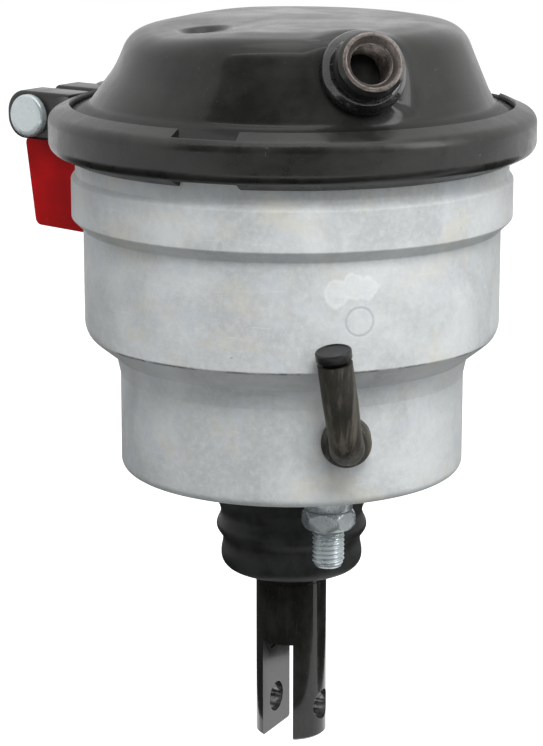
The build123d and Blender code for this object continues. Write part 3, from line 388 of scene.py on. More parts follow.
# ------------------------------------------------------------------ finishes
class Finish:
    """A node material under construction: a Principled shader, the tone laid on it so far, and
    helpers that feed both."""

    def __init__(self, name, key=None, level=1.0, **values):
        self.material = bpy.data.materials.new(name)
        self.material.use_nodes = True
        self.tree = self.material.node_tree
        self.shader = self.tree.nodes["Principled BSDF"]
        self.place = self.tree.nodes.new("ShaderNodeTexCoord").outputs["Object"]
        if key:
            self.base = tinted(getattr(bpy.context.scene.chamber_finish, key), level)
        for label, value in values.items():
            label = label.replace("_", " ").title().replace("Ior", "IOR")
            self.shader.inputs[label].default_value = value

    def node(self, kind, inputs, **settings):
        """A node with its inputs set to constants or linked to sockets."""
        made = self.tree.nodes.new(kind)
        for key, value in settings.items():
            setattr(made, key, value)
        for key, value in inputs.items():
            if isinstance(value, bpy.types.NodeSocket):
                self.tree.links.new(value, made.inputs[key])
            else:
                made.inputs[key].default_value = value
        return made

    def noise(self, width, detail, rough, stretch=None, distort=0.0):
        """Fractal noise whose features are about width millimetres across, over coordinates
        multiplied by stretch's three numbers."""
        place = self.place
        if stretch:
            place = self.node("ShaderNodeMapping", {"Vector": place, "Scale": stretch}).outputs[0]
        inputs = {"Vector": place, "Scale": 1.0 / (width * MM), "Detail": detail}
        inputs |= {"Roughness": rough, "Distortion": distort}
        return self.node("ShaderNodeTexNoise", inputs).outputs["Fac"]

    def ramp(self, value, low, high, start=0.0, end=1.0):
        """Value mapped from low..high to start..end, and held past both."""
        inputs = {"Value": value, "From Min": low, "From Max": high, "To Min": start, "To Max": end}
        made = self.node("ShaderNodeMapRange", inputs, interpolation_type="SMOOTHSTEP")
        return made.outputs["Result"]

    def math(self, operation, a, b=0.0):
        return self.node("ShaderNodeMath", {0: a, 1: b}, operation=operation).outputs[0]

    def times(self, a, b):
        return self.math("MULTIPLY", a, b)

    def off(self, a, b):
        """How far a is from b, either way."""
        return self.math("ABSOLUTE", self.math("SUBTRACT", a, b))

    def mix(self, factor, a, b):
        """A colour part-way from a to b; either may be a colour or another mix."""
        a, b = ((*c, 1.0) if isinstance(c, tuple) else c for c in (a, b))
        return self.node("ShaderNodeMix", {0: factor, 6: a, 7: b}, data_type="RGBA").outputs[2]

    def ground(self, value, low, high, dark, light):
        """Starts the tone: dark where the value is under low, light where it is over high."""
        self.tone = self.mix(self.ramp(value, low, high), dark, light)

    def lay(self, colour, value, low, high, amount):
        """Lays a colour over the tone where the value climbs from low to high, up to an amount."""
        self.tone = self.mix(self.ramp(value, low, high, 0.0, amount), self.tone, colour)

    def vector(self, operation, a, b=(0, 0, 0)):
        """A vector operation on a socket and a constant, with its vector and value outputs."""
        return self.node("ShaderNodeVectorMath", {0: a, 1: tuple(b)}, operation=operation).outputs

    def distance(self, point):
        """Distance of the surface from a point of the frame, given in millimetres."""
        return self.vector("DISTANCE", self.place, np.multiply(point, MM))["Value"]

    def coordinate(self, letter):
        """One coordinate of the surface in the row's frame."""
        return self.node("ShaderNodeSeparateXYZ", {0: self.place}).outputs[letter]

    def done(self, roughness, height, distance, strength):
        """Links the tone, the roughness and a relief of distance millimetres."""
        inputs = {"Strength": strength, "Distance": distance * MM, "Height": height}
        relief = self.node("ShaderNodeBump", inputs).outputs[0]
        for key, value in (("Base Color", self.tone), ("Roughness", roughness), ("Normal", relief)):
            self.tree.links.new(value, self.shader.inputs[key])
        return self.material


PIN_OUT = polar(-26.0, 1.0, 0.0)
PIN_CENTRE = (0.0, 0.0, -97.1)
PIN_BORE_R = 6.02
SHOULDER_Z = 53.8
NECK_R, NECK_Z = 67.3, 44.6
PIN_MARK = polar(-72.8, 79.0, 71.9)
PIN_MARK_R = 5.1
RESIDUE = (
    (polar(-78.6, 79.0, 83.0), 4.2),
    (polar(-74.6, 79.0, 84.6), 4.0),
    (polar(-71.0, 79.0, 84.0), 3.6),
)
CLAMPED_Z = 139.6  # the ring covers the cover's paint below this


@cache
def cast_aluminium():
    """Blasted casting: fine grain, cloudy tone, faint stains, a pin's ring, a smear, and a thin dark
    line under the shoulder's front edge that is dirt and painted crease shade.
    """
    f = Finish("cast_aluminium", "aluminium", specular_ior_level=0.35)
    cloud = f.noise(34, 6, 0.62, distort=0.6)
    fine = f.noise(2.4, 5, 0.7)
    grain = f.noise(0.55, 3, 0.6)
    f.ground(cloud, 0.3, 0.72, tinted(f.base, 0.8), tinted(f.base, 1.12))
    f.lay(tinted(f.base, 1.3), fine, 0.35, 0.75, 0.38)
    f.lay((0.53, 0.575, 0.63), f.noise(13, 3, 0.6, distort=0.8), 0.52, 0.7, 0.5)
    stain = f.noise(15, 5, 0.75, (1.0, 1.0, 0.35), 1.2)
    f.lay((0.40, 0.39, 0.36), stain, 0.62, 0.78, 0.38)
    f.lay((0.62, 0.595, 0.50), f.noise(22, 4, 0.6, (1.0, 1.0, 1.7)), 0.52, 0.72, 0.5)
    f.lay(tinted(f.base, 1.4), f.noise(5, 2, 0.5, (0.35, 0.35, 5.5), 0.3), 0.67, 0.73, 0.22)
    ring = f.off(f.distance(PIN_MARK), PIN_MARK_R * MM)
    ring = f.ramp(ring, 0.15 * MM, 0.7 * MM, 1.0, 0.0)
    f.tone = f.mix(f.times(ring, 0.4), f.tone, tinted(f.base, 0.55))
    rims = [f.math("SUBTRACT", f.distance(spot), radius * MM) for spot, radius in RESIDUE]
    edge = f.math("MINIMUM", f.math("MINIMUM", rims[0], rims[1]), rims[2])
    ragged = f.math("SUBTRACT", f.noise(5, 3, 0.5), 0.5)
    edge = f.math("ADD", edge, f.times(ragged, 5 * MM))
    film = f.ramp(edge, -1.2 * MM, 1.6 * MM, 1.0, 0.0)
    tide = f.ramp(f.math("ABSOLUTE", edge), 0.2 * MM, 1.3 * MM, 1.0, 0.0)
    smear = f.math("MAXIMUM", f.times(film, 0.2), f.times(tide, 0.3))
    f.tone = f.mix(smear, f.tone, (0.92, 0.93, 0.90))
    # A thin dark line just under the shoulder's edge, at the front only and fading round the sides: dirt
    # along the edge and painted crease shade.
    off_edge = f.off(f.coordinate("Z"), (SHOULDER_Z - 0.3) * MM)
    crease_dirt_and_shade = f.ramp(off_edge, 0.1 * MM, 0.8 * MM, 1.0, 0.0)
    broken = f.ramp(f.noise(10, 4, 0.7), 0.42, 0.6)
    forward = f.ramp(f.coordinate("Y"), -50 * MM, -25 * MM, 0.75, 0.0)
    f.tone = f.mix(f.times(f.times(crease_dirt_and_shade, broken), forward), f.tone, (0.09, 0.085, 0.08))
    f.lay((0.16, 0.15, 0.15), f.noise(2.6, 2, 0.5), 0.76, 0.79, 0.45)
    height = f.math("ADD", f.times(grain, 0.6), f.times(fine, 1.1))
    height = f.math("SUBTRACT", height, f.times(ring, 0.8))
    return f.done(f.ramp(fine, 0.3, 0.7, 0.46, 0.62), height, 0.16, 0.55)


@cache
def gloss_black():
    """Gloss paint over pressed steel: orange peel, dust and a few pale scuffs, and darker and rougher
    below the ring's edge."""
    coat = {"coat_weight": 0.25, "coat_roughness": 0.1, "coat_ior": 1.5}
    f = Finish("gloss_black", "black", specular_ior_level=0.22, **coat)
    cloud = f.noise(20, 5, 0.6)
    f.ground(cloud, 0.35, 0.7, f.base, tinted(f.base, 1.9))
    f.lay((0.14, 0.135, 0.13), f.noise(1.1, 2, 0.6), 0.68, 0.78, 0.25)
    scuff = f.noise(7, 3, 0.7, (1.0, 1.0, 3.0), 0.8)
    f.lay((0.10, 0.097, 0.092), scuff, 0.69, 0.78, 0.3)
    # Below the ring's edge the paint is made darker and rougher.
    low, high = CLAMPED_Z * MM, (CLAMPED_Z + 1.8) * MM
    clamped = f.ramp(f.coordinate("Z"), low, high, 1.0, 0.0)
    f.tone = f.mix(f.times(clamped, 0.8), f.tone, tinted(f.base, 0.6))
    gloss = f.math("ADD", f.ramp(cloud, 0.3, 0.7, 0.24, 0.4), f.times(clamped, 0.4))
    height = f.math("ADD", f.times(f.noise(1.8, 3, 0.5), 0.5), f.times(cloud, 1.6))
    return f.done(gloss, height, 0.10, 0.35)


@cache
def wet_black():
    """Thick paint over a rough bead: deep black with lumps that each catch a light."""
    coat = {"coat_weight": 0.8, "coat_roughness": 0.05, "coat_ior": 1.5}
    f = Finish("wet_black", "black", specular_ior_level=0.4, **coat)
    lumps = f.noise(4.5, 3, 0.6, distort=0.4)
    f.ground(lumps, 0.4, 0.7, tinted(f.base, 0.7), tinted(f.base, 1.8))
    return f.done(f.ramp(lumps, 0.3, 0.7, 0.2, 0.34), lumps, 1.0, 0.55)


@cache
def machined_black():
    """Thin black on a machined bar: rubbed edges, and a bright bore within the radius of the
    pin's hole, where the distance from its line is the offset crossed with its direction."""
    coat = {"coat_weight": 0.2, "coat_roughness": 0.08, "coat_ior": 1.5}
    f = Finish("machined_black", "black", specular_ior_level=0.26, **coat)
    drawn = f.noise(1.4, 3, 0.6, (1.0, 1.0, 0.12))
    cloud = f.noise(9, 5, 0.7, (1.0, 1.0, 0.5))
    rub = f.noise(2.2, 4, 0.75, (1.0, 1.0, 0.6))
    f.ground(cloud, 0.35, 0.7, f.base, tinted(f.base, 2.2))
    f.lay((0.05, 0.047, 0.044), drawn, 0.6, 0.8, 0.35)
    f.lay((0.16, 0.15, 0.145), rub, 0.68, 0.76, 0.5)
    offset = f.vector("SUBTRACT", f.place, np.multiply(PIN_CENTRE, MM))[0]
    crossed = f.vector("CROSS_PRODUCT", offset, PIN_OUT)[0]
    from_pin = f.vector("LENGTH", crossed)["Value"]
    bore = f.ramp(from_pin, PIN_BORE_R * MM, (PIN_BORE_R + 0.1) * MM, 1.0, 0.0)
    streaks = f.ramp(f.noise(1.6, 3, 0.6), 0.35, 0.65)
    f.tone = f.mix(bore, f.tone, f.mix(streaks, (0.10, 0.10, 0.10), (0.20, 0.20, 0.20)))
    f.tree.links.new(f.times(bore, 0.8), f.shader.inputs["Metallic"])
    height = f.math("ADD", drawn, f.times(rub, 0.5))
    return f.done(f.ramp(cloud, 0.3, 0.7, 0.13, 0.22), height, 0.05, 0.3)


@cache
def ring_paint():
    """Thin satin paint on a rolled ring: mottled, with chips that show grey steel."""
    f = Finish("ring_paint", "ring", specular_ior_level=0.42)
    cloud = f.noise(16, 6, 0.65, distort=0.5)
    f.ground(cloud, 0.35, 0.7, f.base, tinted(f.base, 2.1))
    chip = f.noise(3.6, 5, 0.75, (1.0, 1.0, 1.6), 0.5)
    where = f.noise(30, 3, 0.5)
    chips = f.times(f.ramp(chip, 0.66, 0.7), f.ramp(where, 0.42, 0.6))
    f.tone = f.mix(f.times(chips, 0.6), f.tone, (0.20, 0.20, 0.21))
    height = f.math("SUBTRACT", f.times(f.noise(7, 3, 0.5), 1.4), f.times(chips, 0.5))
    return f.done(f.ramp(cloud, 0.3, 0.72, 0.24, 0.4), height, 0.22, 0.5)


@cache
def zinc_plate(name="zinc_plate", level=1.0):
    """Bright zinc: bluish white with a fine drawn grain and cloudy dull patches."""
    # level darkens the whole finish; below 1 it makes the copy with painted shade.
    f = Finish(name, "zinc", level, metallic=0.6)
    cloud = f.noise(4, 5, 0.65)
    f.ground(cloud, 0.3, 0.72, tinted(f.base, 0.82), f.base)
    f.lay(tinted((0.62, 0.66, 0.78), level), f.noise(6, 2, 0.5), 0.55, 0.75, 0.35)
    return f.done(f.ramp(cloud, 0.3, 0.7, 0.22, 0.42), f.noise(0.5, 3, 0.6), 0.05, 0.4)


def dull_zinc():
    """A darker copy of the zinc plate: painted shade on the nuts and the clamp washer."""
    return zinc_plate("dull_zinc", 0.7)


@cache
def bare_steel():
    """Machined steel with paint left in patches and a brown bloom."""
    f = Finish("bare_steel", metallic=0.85)
    fine = f.noise(0.7, 4, 0.7)
    patch = f.noise(3.0, 5, 0.7, distort=0.8)
    f.ground(fine, 0.3, 0.7, (0.20, 0.17, 0.155), (0.31, 0.275, 0.255))
    f.lay((0.075, 0.06, 0.052), patch, 0.5, 0.66, 0.6)
    return f.done(f.ramp(patch, 0.3, 0.7, 0.3, 0.5), fine, 0.08, 0.5)


@cache
def red_plastic():
    """Moulded plastic: fine spark texture, slight flow lines, a dusty bloom."""
    f = Finish("red_plastic", "red", specular_ior_level=0.12)
    grain = f.noise(0.5, 2, 0.5)
    f.ground(f.noise(12, 4, 0.6), 0.3, 0.7, tinted(f.base, 0.86), tinted(f.base, 1.1))
    f.lay((0.6, 0.2, 0.17), f.noise(5, 5, 0.7), 0.62, 0.8, 0.2)
    return f.done(f.ramp(grain, 0.3, 0.7, 0.36, 0.5), grain, 0.06, 0.4)


@cache
def aged_rubber():
    """Weathered rubber: brownish, dusty along its length, with fine wipe marks."""
    f = Finish("aged_rubber", specular_ior_level=0.3)
    cloud = f.noise(7, 5, 0.65, (1.0, 1.0, 0.45))
    fine = f.noise(0.9, 4, 0.65)
    f.ground(cloud, 0.32, 0.7, (0.016, 0.016, 0.013), (0.045, 0.041, 0.032))
    f.lay((0.125, 0.112, 0.088), f.noise(3.4, 4, 0.65, (1.0, 1.0, 0.1)), 0.44, 0.66, 0.75)
    f.lay((0.13, 0.118, 0.10), fine, 0.6, 0.76, 0.3)
    return f.done(f.ramp(cloud, 0.3, 0.7, 0.38, 0.58), fine, 0.10, 0.5)


@cache
def cap_rubber():
    """Newer rubber of the vent's cap: near black with a soft shine."""
    f = Finish("cap_rubber", specular_ior_level=0.4)
    cloud = f.noise(5, 4, 0.6)
    f.ground(cloud, 0.32, 0.7, (0.006, 0.006, 0.006), (0.016, 0.015, 0.014))
    return f.done(f.ramp(cloud, 0.3, 0.7, 0.28, 0.42), f.noise(1.2, 3, 0.6), 0.06, 0.4)


@cache
def bellows_rubber():
    """Moulded black rubber with a soft bloom on its waves."""
    f = Finish("bellows_rubber", "rubber", specular_ior_level=0.2)
    cloud = f.noise(9, 5, 0.6)
    fine = f.noise(0.7, 3, 0.6)
    f.ground(cloud, 0.3, 0.7, tinted(f.base, 0.75), tinted(f.base, 1.7))
    f.lay((0.12, 0.12, 0.115), fine, 0.62, 0.76, 0.2)
    return f.done(f.ramp(cloud, 0.3, 0.7, 0.42, 0.6), fine, 0.06, 0.4)


@cache
def plain_steel():
    """Oiled steel with a turned grain."""
    f = Finish("plain_steel", metallic=0.9)
    grain = f.noise(1.2, 3, 0.6, (0.4, 0.4, 4.0))
    f.ground(grain, 0.3, 0.7, (0.32, 0.31, 0.30), (0.52, 0.51, 0.50))
    return f.done(f.ramp(grain, 0.3, 0.7, 0.3, 0.5), grain, 0.05, 0.3)


@cache
def bronze():
    """Sintered bronze: warm and finely pitted."""
    f = Finish("bronze", metallic=0.9)
    pits = f.noise(0.8, 3, 0.6)
    f.ground(pits, 0.35, 0.7, (0.30, 0.19, 0.08), (0.55, 0.38, 0.18))
    return f.done(f.ramp(pits, 0.3, 0.7, 0.3, 0.55), pits, 0.05, 0.3)


@cache
def guide_plastic():
    """Filled black plastic with a moulded grain."""
    f = Finish("guide_plastic")
    grain = f.noise(0.8, 3, 0.6)
    f.ground(grain, 0.3, 0.7, (0.02, 0.02, 0.02), (0.045, 0.045, 0.045))
    return f.done(f.ramp(grain, 0.3, 0.7, 0.4, 0.6), grain, 0.05, 0.3)


# ------------------------------------------------------------------ joint
JOINT_Z = 130.2  # middle of the clamped joint
FLANGE_SLOPE = radians(24.0)
RING_TIP_R = 83.8  # inner edge of the ring's flanges
COVER_SHEET = 3.0  # thickness of the cover
UNDER_RING = 2.8  # from the ring's skin to the flanges that it clamps


def wedge_height(r, depth):
    """Height over the joint's middle of the ring's flange at a radius, a depth below its skin."""
    return 10.0 - (r - RING_TIP_R) * tan(FLANGE_SLOPE) - depth / cos(FLANGE_SLOPE)


# ------------------------------------------------------------------ housing
def crisp_shoulder(grid, body):
    """Towards the front the rounded shoulder becomes an edge: each point moves out to the
    profile of an upright wall that meets a straight cone, by a share that fades round the sides."""
    grid = grid.copy()
    r, z = from_axis(grid), grid[..., 2]
    azimuth = np.degrees(np.arctan2(grid[..., 1], grid[..., 0]))
    share = bell(np.abs(azimuth + 90), 48, 84)
    below = np.clip(SHOULDER_Z - z, 0, None)
    edge = body - below * (body - NECK_R) / (SHOULDER_Z - NECK_Z)
    skin = (r > body - 4) & (r > NECK_R + 2) & (z < 60) & (z > 49) & (edge > r)
    wider = np.where(skin, share * (edge - r), 0)
    grid[..., :2] *= (1 + wider / np.maximum(r, 1e-3))[..., None]
    return grid


class CHAMBER_OT_housing(bpy.types.Operator):
    """Cast housing: a turned wall with a band under its rim and a floor inside"""

    bl_idname = "chamber.housing"
    bl_label = "Cast housing"

    def execute(self, context):
        base, body, band = size("base_radius"), size("body_radius"), size("band_radius")
        rim_in, base_in, opening, neck, floor = 81.8, 60.7, 24.3, 31.5, 9
        corners = [
            (neck, 2),
            (neck, 0),
            (base, 0),
            (base, 37.2),
            (NECK_R, NECK_Z),
            (body, SHOULDER_Z),
            (body, 93.7),
            (band, 97.9),
            (band, 112.5),
            (rim_in, 114.5),
            (rim_in, JOINT_Z - wedge_height(rim_in, UNDER_RING)),
            (RIM_R, JOINT_Z - wedge_height(RIM_R, UNDER_RING)),
            (RIM_R, RIM_TOP),
            (74.0, RIM_TOP),
            (74.0, 56.0),
            (62.5, 46.9),
            (base_in, 37.2),
            (base_in, floor),
            (opening, floor),
            (opening, 2),
        ]
        radii = [0.3, 0.4, 3.6, 1.6, 0.5, 9.0, 1.0, 1.2, 1.4, 1.2, 0.6, 0.8, 0.8]
        radii += [0.8, 4.0, 2.0, 2.0, 2.5, 0.6, 0.3]
        outline = closed_outline(corners, radii, steps=7)
        outline = spread(np.concatenate([outline, outline[:1]]), 3.5)[:-1]
        shoulder = (outline[:, 0] > body - 3.5) & (outline[:, 1] < 59)
        first, last = np.flatnonzero(shoulder)[[0, -1]]
        fine = spread(outline[first : last + 1], 0.5)
        outline = np.concatenate([outline[:first], fine, outline[last + 1 :]])
        grid = crisp_shoulder(turned(outline, 288), body)
        r = from_axis(grid)[..., None]
        ripple = (waves(grid, 45, 3) - 1)[..., None] * size("cast_ripple") / 2
        grid = grid + grid * [1, 1, 0] / np.maximum(r, 1e-3) * ripple * (r > base_in + 1.3)
        parts = [surface(grid, wrap_rows=True)]
        solid("cast_housing", parts, cast_aluminium(), "cast_aluminium", "housing", angle=50)
        return {"FINISHED"}


# ------------------------------------------------------------------ pressure cover
PORT_WALL_ANGLE = -69.8
PORT_ANGLE = -75.0
PORT_RISE = 24.0
PORT_FOOT = polar(PORT_WALL_ANGLE, 69.5, 158.4)
PORT_OUT = polar(PORT_ANGLE, cos(radians(PORT_RISE)), sin(radians(PORT_RISE)))
PORT_PAD_R = 70
DIMPLE = np.array([-33.8, -19.5])
DIMPLE_R, DIMPLE_DEPTH, SAG_DEPTH = 10.0, 2.4, 1.6
SHOULDER_IN, SHOULDER_DOWN = 3.2, 1.7


def pressed(grid):
    """The cover's stamped details: a round dimple, a flattened pad round the port, a sunken
    shoulder beside the dimple and at the left, and the waviness of a pressing."""
    grid = grid.copy()
    top = grid[..., 2] > 150
    from_dimple = np.linalg.norm(grid[..., :2] - DIMPLE, axis=-1)
    grid[..., 2] -= top * DIMPLE_DEPTH * bell(from_dimple, 0.62 * DIMPLE_R, 1.15 * DIMPLE_R)
    grid[..., 2] -= top * SAG_DEPTH * bell(from_dimple, 0.6 * DIMPLE_R, 3.4 * DIMPLE_R)
    along = (grid - PORT_FOOT) @ PORT_OUT
    across = np.linalg.norm(grid - PORT_FOOT - along[..., None] * PORT_OUT, axis=-1)
    near = bell(across, 16.5, 24) * (along > -14)
    outer_skin = along + across**2 / (2 * PORT_PAD_R) > -1.4
    level = np.where(outer_skin, -0.6, -0.6 - COVER_SHEET)
    grid += ((level - along) * near * 0.55)[..., None] * PORT_OUT
    drop = (COVER_TOP - 9) - grid[..., 2]
    left = bell(grid[..., 0] + 60, 0, 48)
    grid[..., 0] += left * SHOULDER_IN * bell(np.abs(drop), 7, 24)
    grid[..., 2] -= left * SHOULDER_DOWN * bell(drop, 0, 20)
    r = from_axis(grid)[..., None]
    uneven = (waves(grid, 60, 11) - 1)[..., None] * 0.25 * (r < 74)
    grid += grid * [1, 1, 0] / np.maximum(r, 1e-3) * uneven
    return grid


class CHAMBER_OT_cover(bpy.types.Operator):
    """Pressed cover: a domed shell with a dimple, a pad at the port and a clamped rim"""

    bl_idname = "chamber.cover"
    bl_label = "Pressure cover"

    def execute(self, context):
        foot, foot_in, under_sheet = 75.6, 73.4, UNDER_RING + COVER_SHEET
        skin = [
            (0, COVER_TOP),
            (50, COVER_TOP - 1.1),
            (64, COVER_TOP - 3.4),
            (foot, JOINT_Z + wedge_height(foot, UNDER_RING)),
            (RIM_R, JOINT_Z + wedge_height(RIM_R, UNDER_RING)),
        ]
        lining = [
            (0, COVER_TOP - 3),
            (49.8, COVER_TOP - 4.1),
            (62.0, COVER_TOP - 6.1),
            (foot_in, JOINT_Z + wedge_height(foot_in, under_sheet)),
            (RIM_R, JOINT_Z + wedge_height(RIM_R, under_sheet)),
        ]
        skin = spread(rounded(skin, [30, 12, 5], 10), 1.6)
        lining = spread(rounded(lining, [27, 9, 8], 8)[::-1], 3)
        parts = [surface(pressed(turned(np.concatenate([skin, lining]), 288)))]
        solid("pressed_cover", parts, gloss_black(), "black_paint", "pressure_cover", angle=50)
        return {"FINISHED"}


class CHAMBER_OT_port(bpy.types.Operator):
    """Air port: a turned boss with a threaded bore and a bare face, on a thick rounded collar"""

    bl_idname = "chamber.port"
    bl_label = "Air port"

    def execute(self, context):
        length, crest, root, shoulder, weld = 13.7, 7.25, 7.95, 10.8, 12.0
        mouth = length - 2.2
        boss = [(crest + 0.9, -5), (10, -5), (10, -2), (12.4, -2), (12.1, length - 2.4)]
        boss = rounded(boss + [(shoulder, length - 0.5)], [0.3, 0.3, 0.3, 1.0], 5)
        face = [(shoulder, length - 0.5), (10.2, length), (9.4, length), (root, mouth)]
        face = rounded(face, [0.4, 0.3], 4)
        wall = thread_wall(root, crest, size("port_pitch"), -5, mouth, 96, 12)
        collar = [(weld, -3.5), (15.4, -3.5), (15.4, 2.6), (13.2, 5.2), (weld, 5.6)]
        collar = turned(rounded(collar, [0.2, 2.2, 1.8], 7), 120)
        collar[..., :2] *= (1 + 0.006 * waves(collar, 9, 5))[..., None]

        def out(grid):
            return surface(placed(grid, PORT_FOOT, (0, 0, 1), PORT_OUT))

        solid("port_boss", [out(turned(boss, 96))], gloss_black(), "black_paint", "air_port")
        solid("port_face", [out(turned(face, 96)), out(wall)], bare_steel(), "port_metal")
        solid("port_collar", [out(collar)], wet_black(), "black_paint", "port_weld")
        return {"FINISHED"}


# ------------------------------------------------------------------ clamp ring
LUG_ANGLE = 144.0
LUG_OUT = polar(LUG_ANGLE, 1.0, 0.0)
LUG_ALONG = polar(LUG_ANGLE - 90, 1.0, 0.0)
LUG_Z = 128.7
LUG_HALF_GAP = 9.0
EAR_OUTER = 23.0
EAR_ROOT = 90
EAR_HALF = 9.5
BOLT_AXIS_R = 110.0
NOTCHES = ((-110.9, 15.8), (27.5, 21.0))
NOTCH_STEP = 0.03


def inside_notch(angle, middle, width):
    """How far an angle lies inside the nearer end of a relief, in degrees, or less than 0."""
    return width / 2 - np.abs((angle - middle + 180) % 360 - 180)


def notch_depth(angle):
    """How far into a relief an angle lies, from 0 outside to 1 within, with steep sides."""
    depth = np.zeros_like(angle)
    for middle, width in NOTCHES:
        step = np.clip(inside_notch(angle, middle, width) / NOTCH_STEP, 0, 1)
        depth = np.maximum(depth, step)
    return depth


def sharpen_ends(mesh):
    """Mark as sharp each edge that lies in the plane of a relief's end."""
    points = np.empty(len(mesh.vertices) * 3)
    mesh.vertices.foreach_get("co", points)
    points = points.reshape(-1, 3)
    angle = np.degrees(np.arctan2(points[:, 1], points[:, 0]))
    near = np.zeros(len(points), bool)
    for middle, width in NOTCHES:
        near |= np.abs(inside_notch(angle, middle, width) - NOTCH_STEP / 2) < 0.025
    ends = np.empty(len(mesh.edges) * 2, int)
    mesh.edges.foreach_get("vertices", ends)
    sharp = np.empty(len(mesh.edges), bool)
    mesh.edges.foreach_get("use_edge_sharp", sharp)
    sharp |= near[ends.reshape(-1, 2)].all(axis=1)
    mesh.edges.foreach_set("use_edge_sharp", sharp)


def close_ends(mesh):
    """Fill the open ends of a channel."""
    bm = bmesh.new()
    bm.from_mesh(mesh)
    bmesh.ops.holes_fill(bm, edges=[e for e in bm.edges if e.is_boundary], sides=0)
    bmesh.ops.recalc_face_normals(bm, faces=bm.faces)
    bm.to_mesh(mesh)
    bm.free()


def lug_frame(points):
    """Points given as (outwards, up, along the bolt) moved to the lug's place."""
    return (points + [0, LUG_Z, 0]) @ np.stack([LUG_OUT, (0, 0, 1), LUG_ALONG])


def channel_half(bend, under, stock, tip, angle):
    """Rows of radius and height over one flange of the ring, from its lining round the lip to
    its skin: along a row the lip stands back where a relief lies."""
    across = np.linspace(1, 0, 8)[:-1, None]
    tip_r = tip + (89.0 - tip) * notch_depth(angle)[None]
    r_skin = bend[0, 0] + (tip_r - bend[0, 0]) * across
    r_in = under[0, 0] + (tip_r - 0.4 - under[0, 0]) * across
    z_skin, z_in = wedge_height(r_skin, 0), wedge_height(r_in, stock)
    lip_r, lip_z = (r_skin[:1] + r_in[:1]) / 2 - 0.5, (z_skin[:1] + z_in[:1]) / 2
    n = len(angle)
    r = [np.repeat(under[::-1, :1], n, 1), r_in[::-1], lip_r, r_skin, np.repeat(bend[:, :1], n, 1)]
    z = [np.repeat(under[::-1, 1:], n, 1), z_in[::-1], lip_z, z_skin, np.repeat(bend[:, 1:], n, 1)]
    return np.concatenate(r), np.concatenate(z)


class CHAMBER_OT_clamp_ring(bpy.types.Operator):
    """Clamp ring: a rolled channel with relief notches, and two ears at its gap"""

    bl_idname = "chamber.clamp_ring"
    bl_label = "Clamp ring"

    def execute(self, context):
        outer, stock = size("ring_radius"), size("ring_stock")
        inner = outer - stock
        end_half = np.degrees(np.arcsin(LUG_HALF_GAP / (outer - 3)))
        first, last = LUG_ANGLE + end_half, LUG_ANGLE + 360 - end_half
        angle = np.linspace(first, last, 420)
        for middle, width in NOTCHES:
            centre = (middle - first) % 360 + first
            for side in (-1, 1):
                step = side * (width / 2 - np.array([-0.08, 0.0, NOTCH_STEP, 0.11]))
                angle = np.concatenate([angle, centre + step])
        angle = np.sort(angle)

        start = 84.5
        bend = [(start, wedge_height(start, 0)), (outer, wedge_height(outer, 0)), (outer, 0)]
        bend = rounded(bend, [4.7], 8)
        under = [(start, wedge_height(start, stock)), (inner, wedge_height(inner, stock)), (inner, 0)]
        under = rounded(under, [2.2], 5)
        bend, under = bend[bend[:, 0] > 89.6], under[under[:, 0] > 88.8]
        r_upper, z_upper = channel_half(bend, under, stock, RING_TIP_R, angle)
        r_lower, z_lower = channel_half(bend, under, stock, RING_TIP_R - 0.7, angle)
        r = np.concatenate([r_upper, r_lower[::-1][1:-1]])
        z = np.concatenate([z_upper, -z_lower[::-1][1:-1]])
        t = np.radians(angle)[None]
        grid = around(r, t, z + JOINT_Z)
        grid += around(1, t, 0) * (np.clip(waves(grid, 30, 21), -1, 1) - 1)[..., None] * 0.16
        parts = [surface(grid, wrap_rows=True, wrap_columns=False)]
        ring = solid("rolled_ring", parts, ring_paint(), "ring_paint", "clamp_ring", angle=45)
        close_ends(ring.data)
        sharpen_ends(ring.data)
        ear_block("near_ear", -EAR_OUTER, 122.4, 9.0, EAR_HALF)
        ear_block("far_ear", LUG_HALF_GAP, 125.5, 3.0, 7.7)
        ear_fillet("near_fillet", -1)
        ear_fillet("far_fillet", 1)
        return {"FINISHED"}


def ear_fillet(name, side):
    """The curve that carries an ear into the ring: an arc touches the ear's face and the ring's
    wall, and rounded upright sections reach from inside the metal to it."""
    ring_r, radius, roll, sunk = size("ring_radius"), 13, 2.2, 4
    off = EAR_OUTER + radius
    out = sqrt((ring_r + radius) ** 2 - off**2)
    t = np.linspace(0, 1, 26)[:, None]
    turn = -pi / 2 - t * (pi / 2 - np.arctan2(off, out))
    arc = np.concatenate([out + radius * np.cos(turn), off + radius * np.sin(turn)], axis=1)
    first = np.array([out, EAR_OUTER - sunk])
    corner = np.array([84, EAR_OUTER - sunk])
    last = arc[-1] * (1 - sunk / ring_r)
    base = (1 - t) ** 2 * first + 2 * t * (1 - t) * corner + t**2 * last
    inward = base - arc
    depth = np.linalg.norm(inward, axis=1, keepdims=True)
    inward = inward / depth
    half = 9.2 - 3.6 * t * t * (3 - 2 * t)
    q = np.linspace(0, pi / 2, 6)[None]
    from_face = roll * (1 - np.sin(q)) + 0 * t
    rise = roll * (1 - np.cos(q)) - half
    inset = np.concatenate([depth, from_face, from_face[:, ::-1], depth], axis=1)
    up = np.concatenate([-half, rise, -rise[:, ::-1], half], axis=1) + (JOINT_Z - LUG_Z) * t
    flat = arc[:, None] + inward[:, None] * inset[..., None]
    grid = lug_frame(np.stack([flat[..., 0], up, side * flat[..., 1]], axis=2))
    if side < 0:
        grid = grid[:, ::-1]
    parts = [surface(grid), fan(grid[0]), fan(grid[-1])]
    return solid(name, parts, ring_paint(), "ring_paint", angle=50)


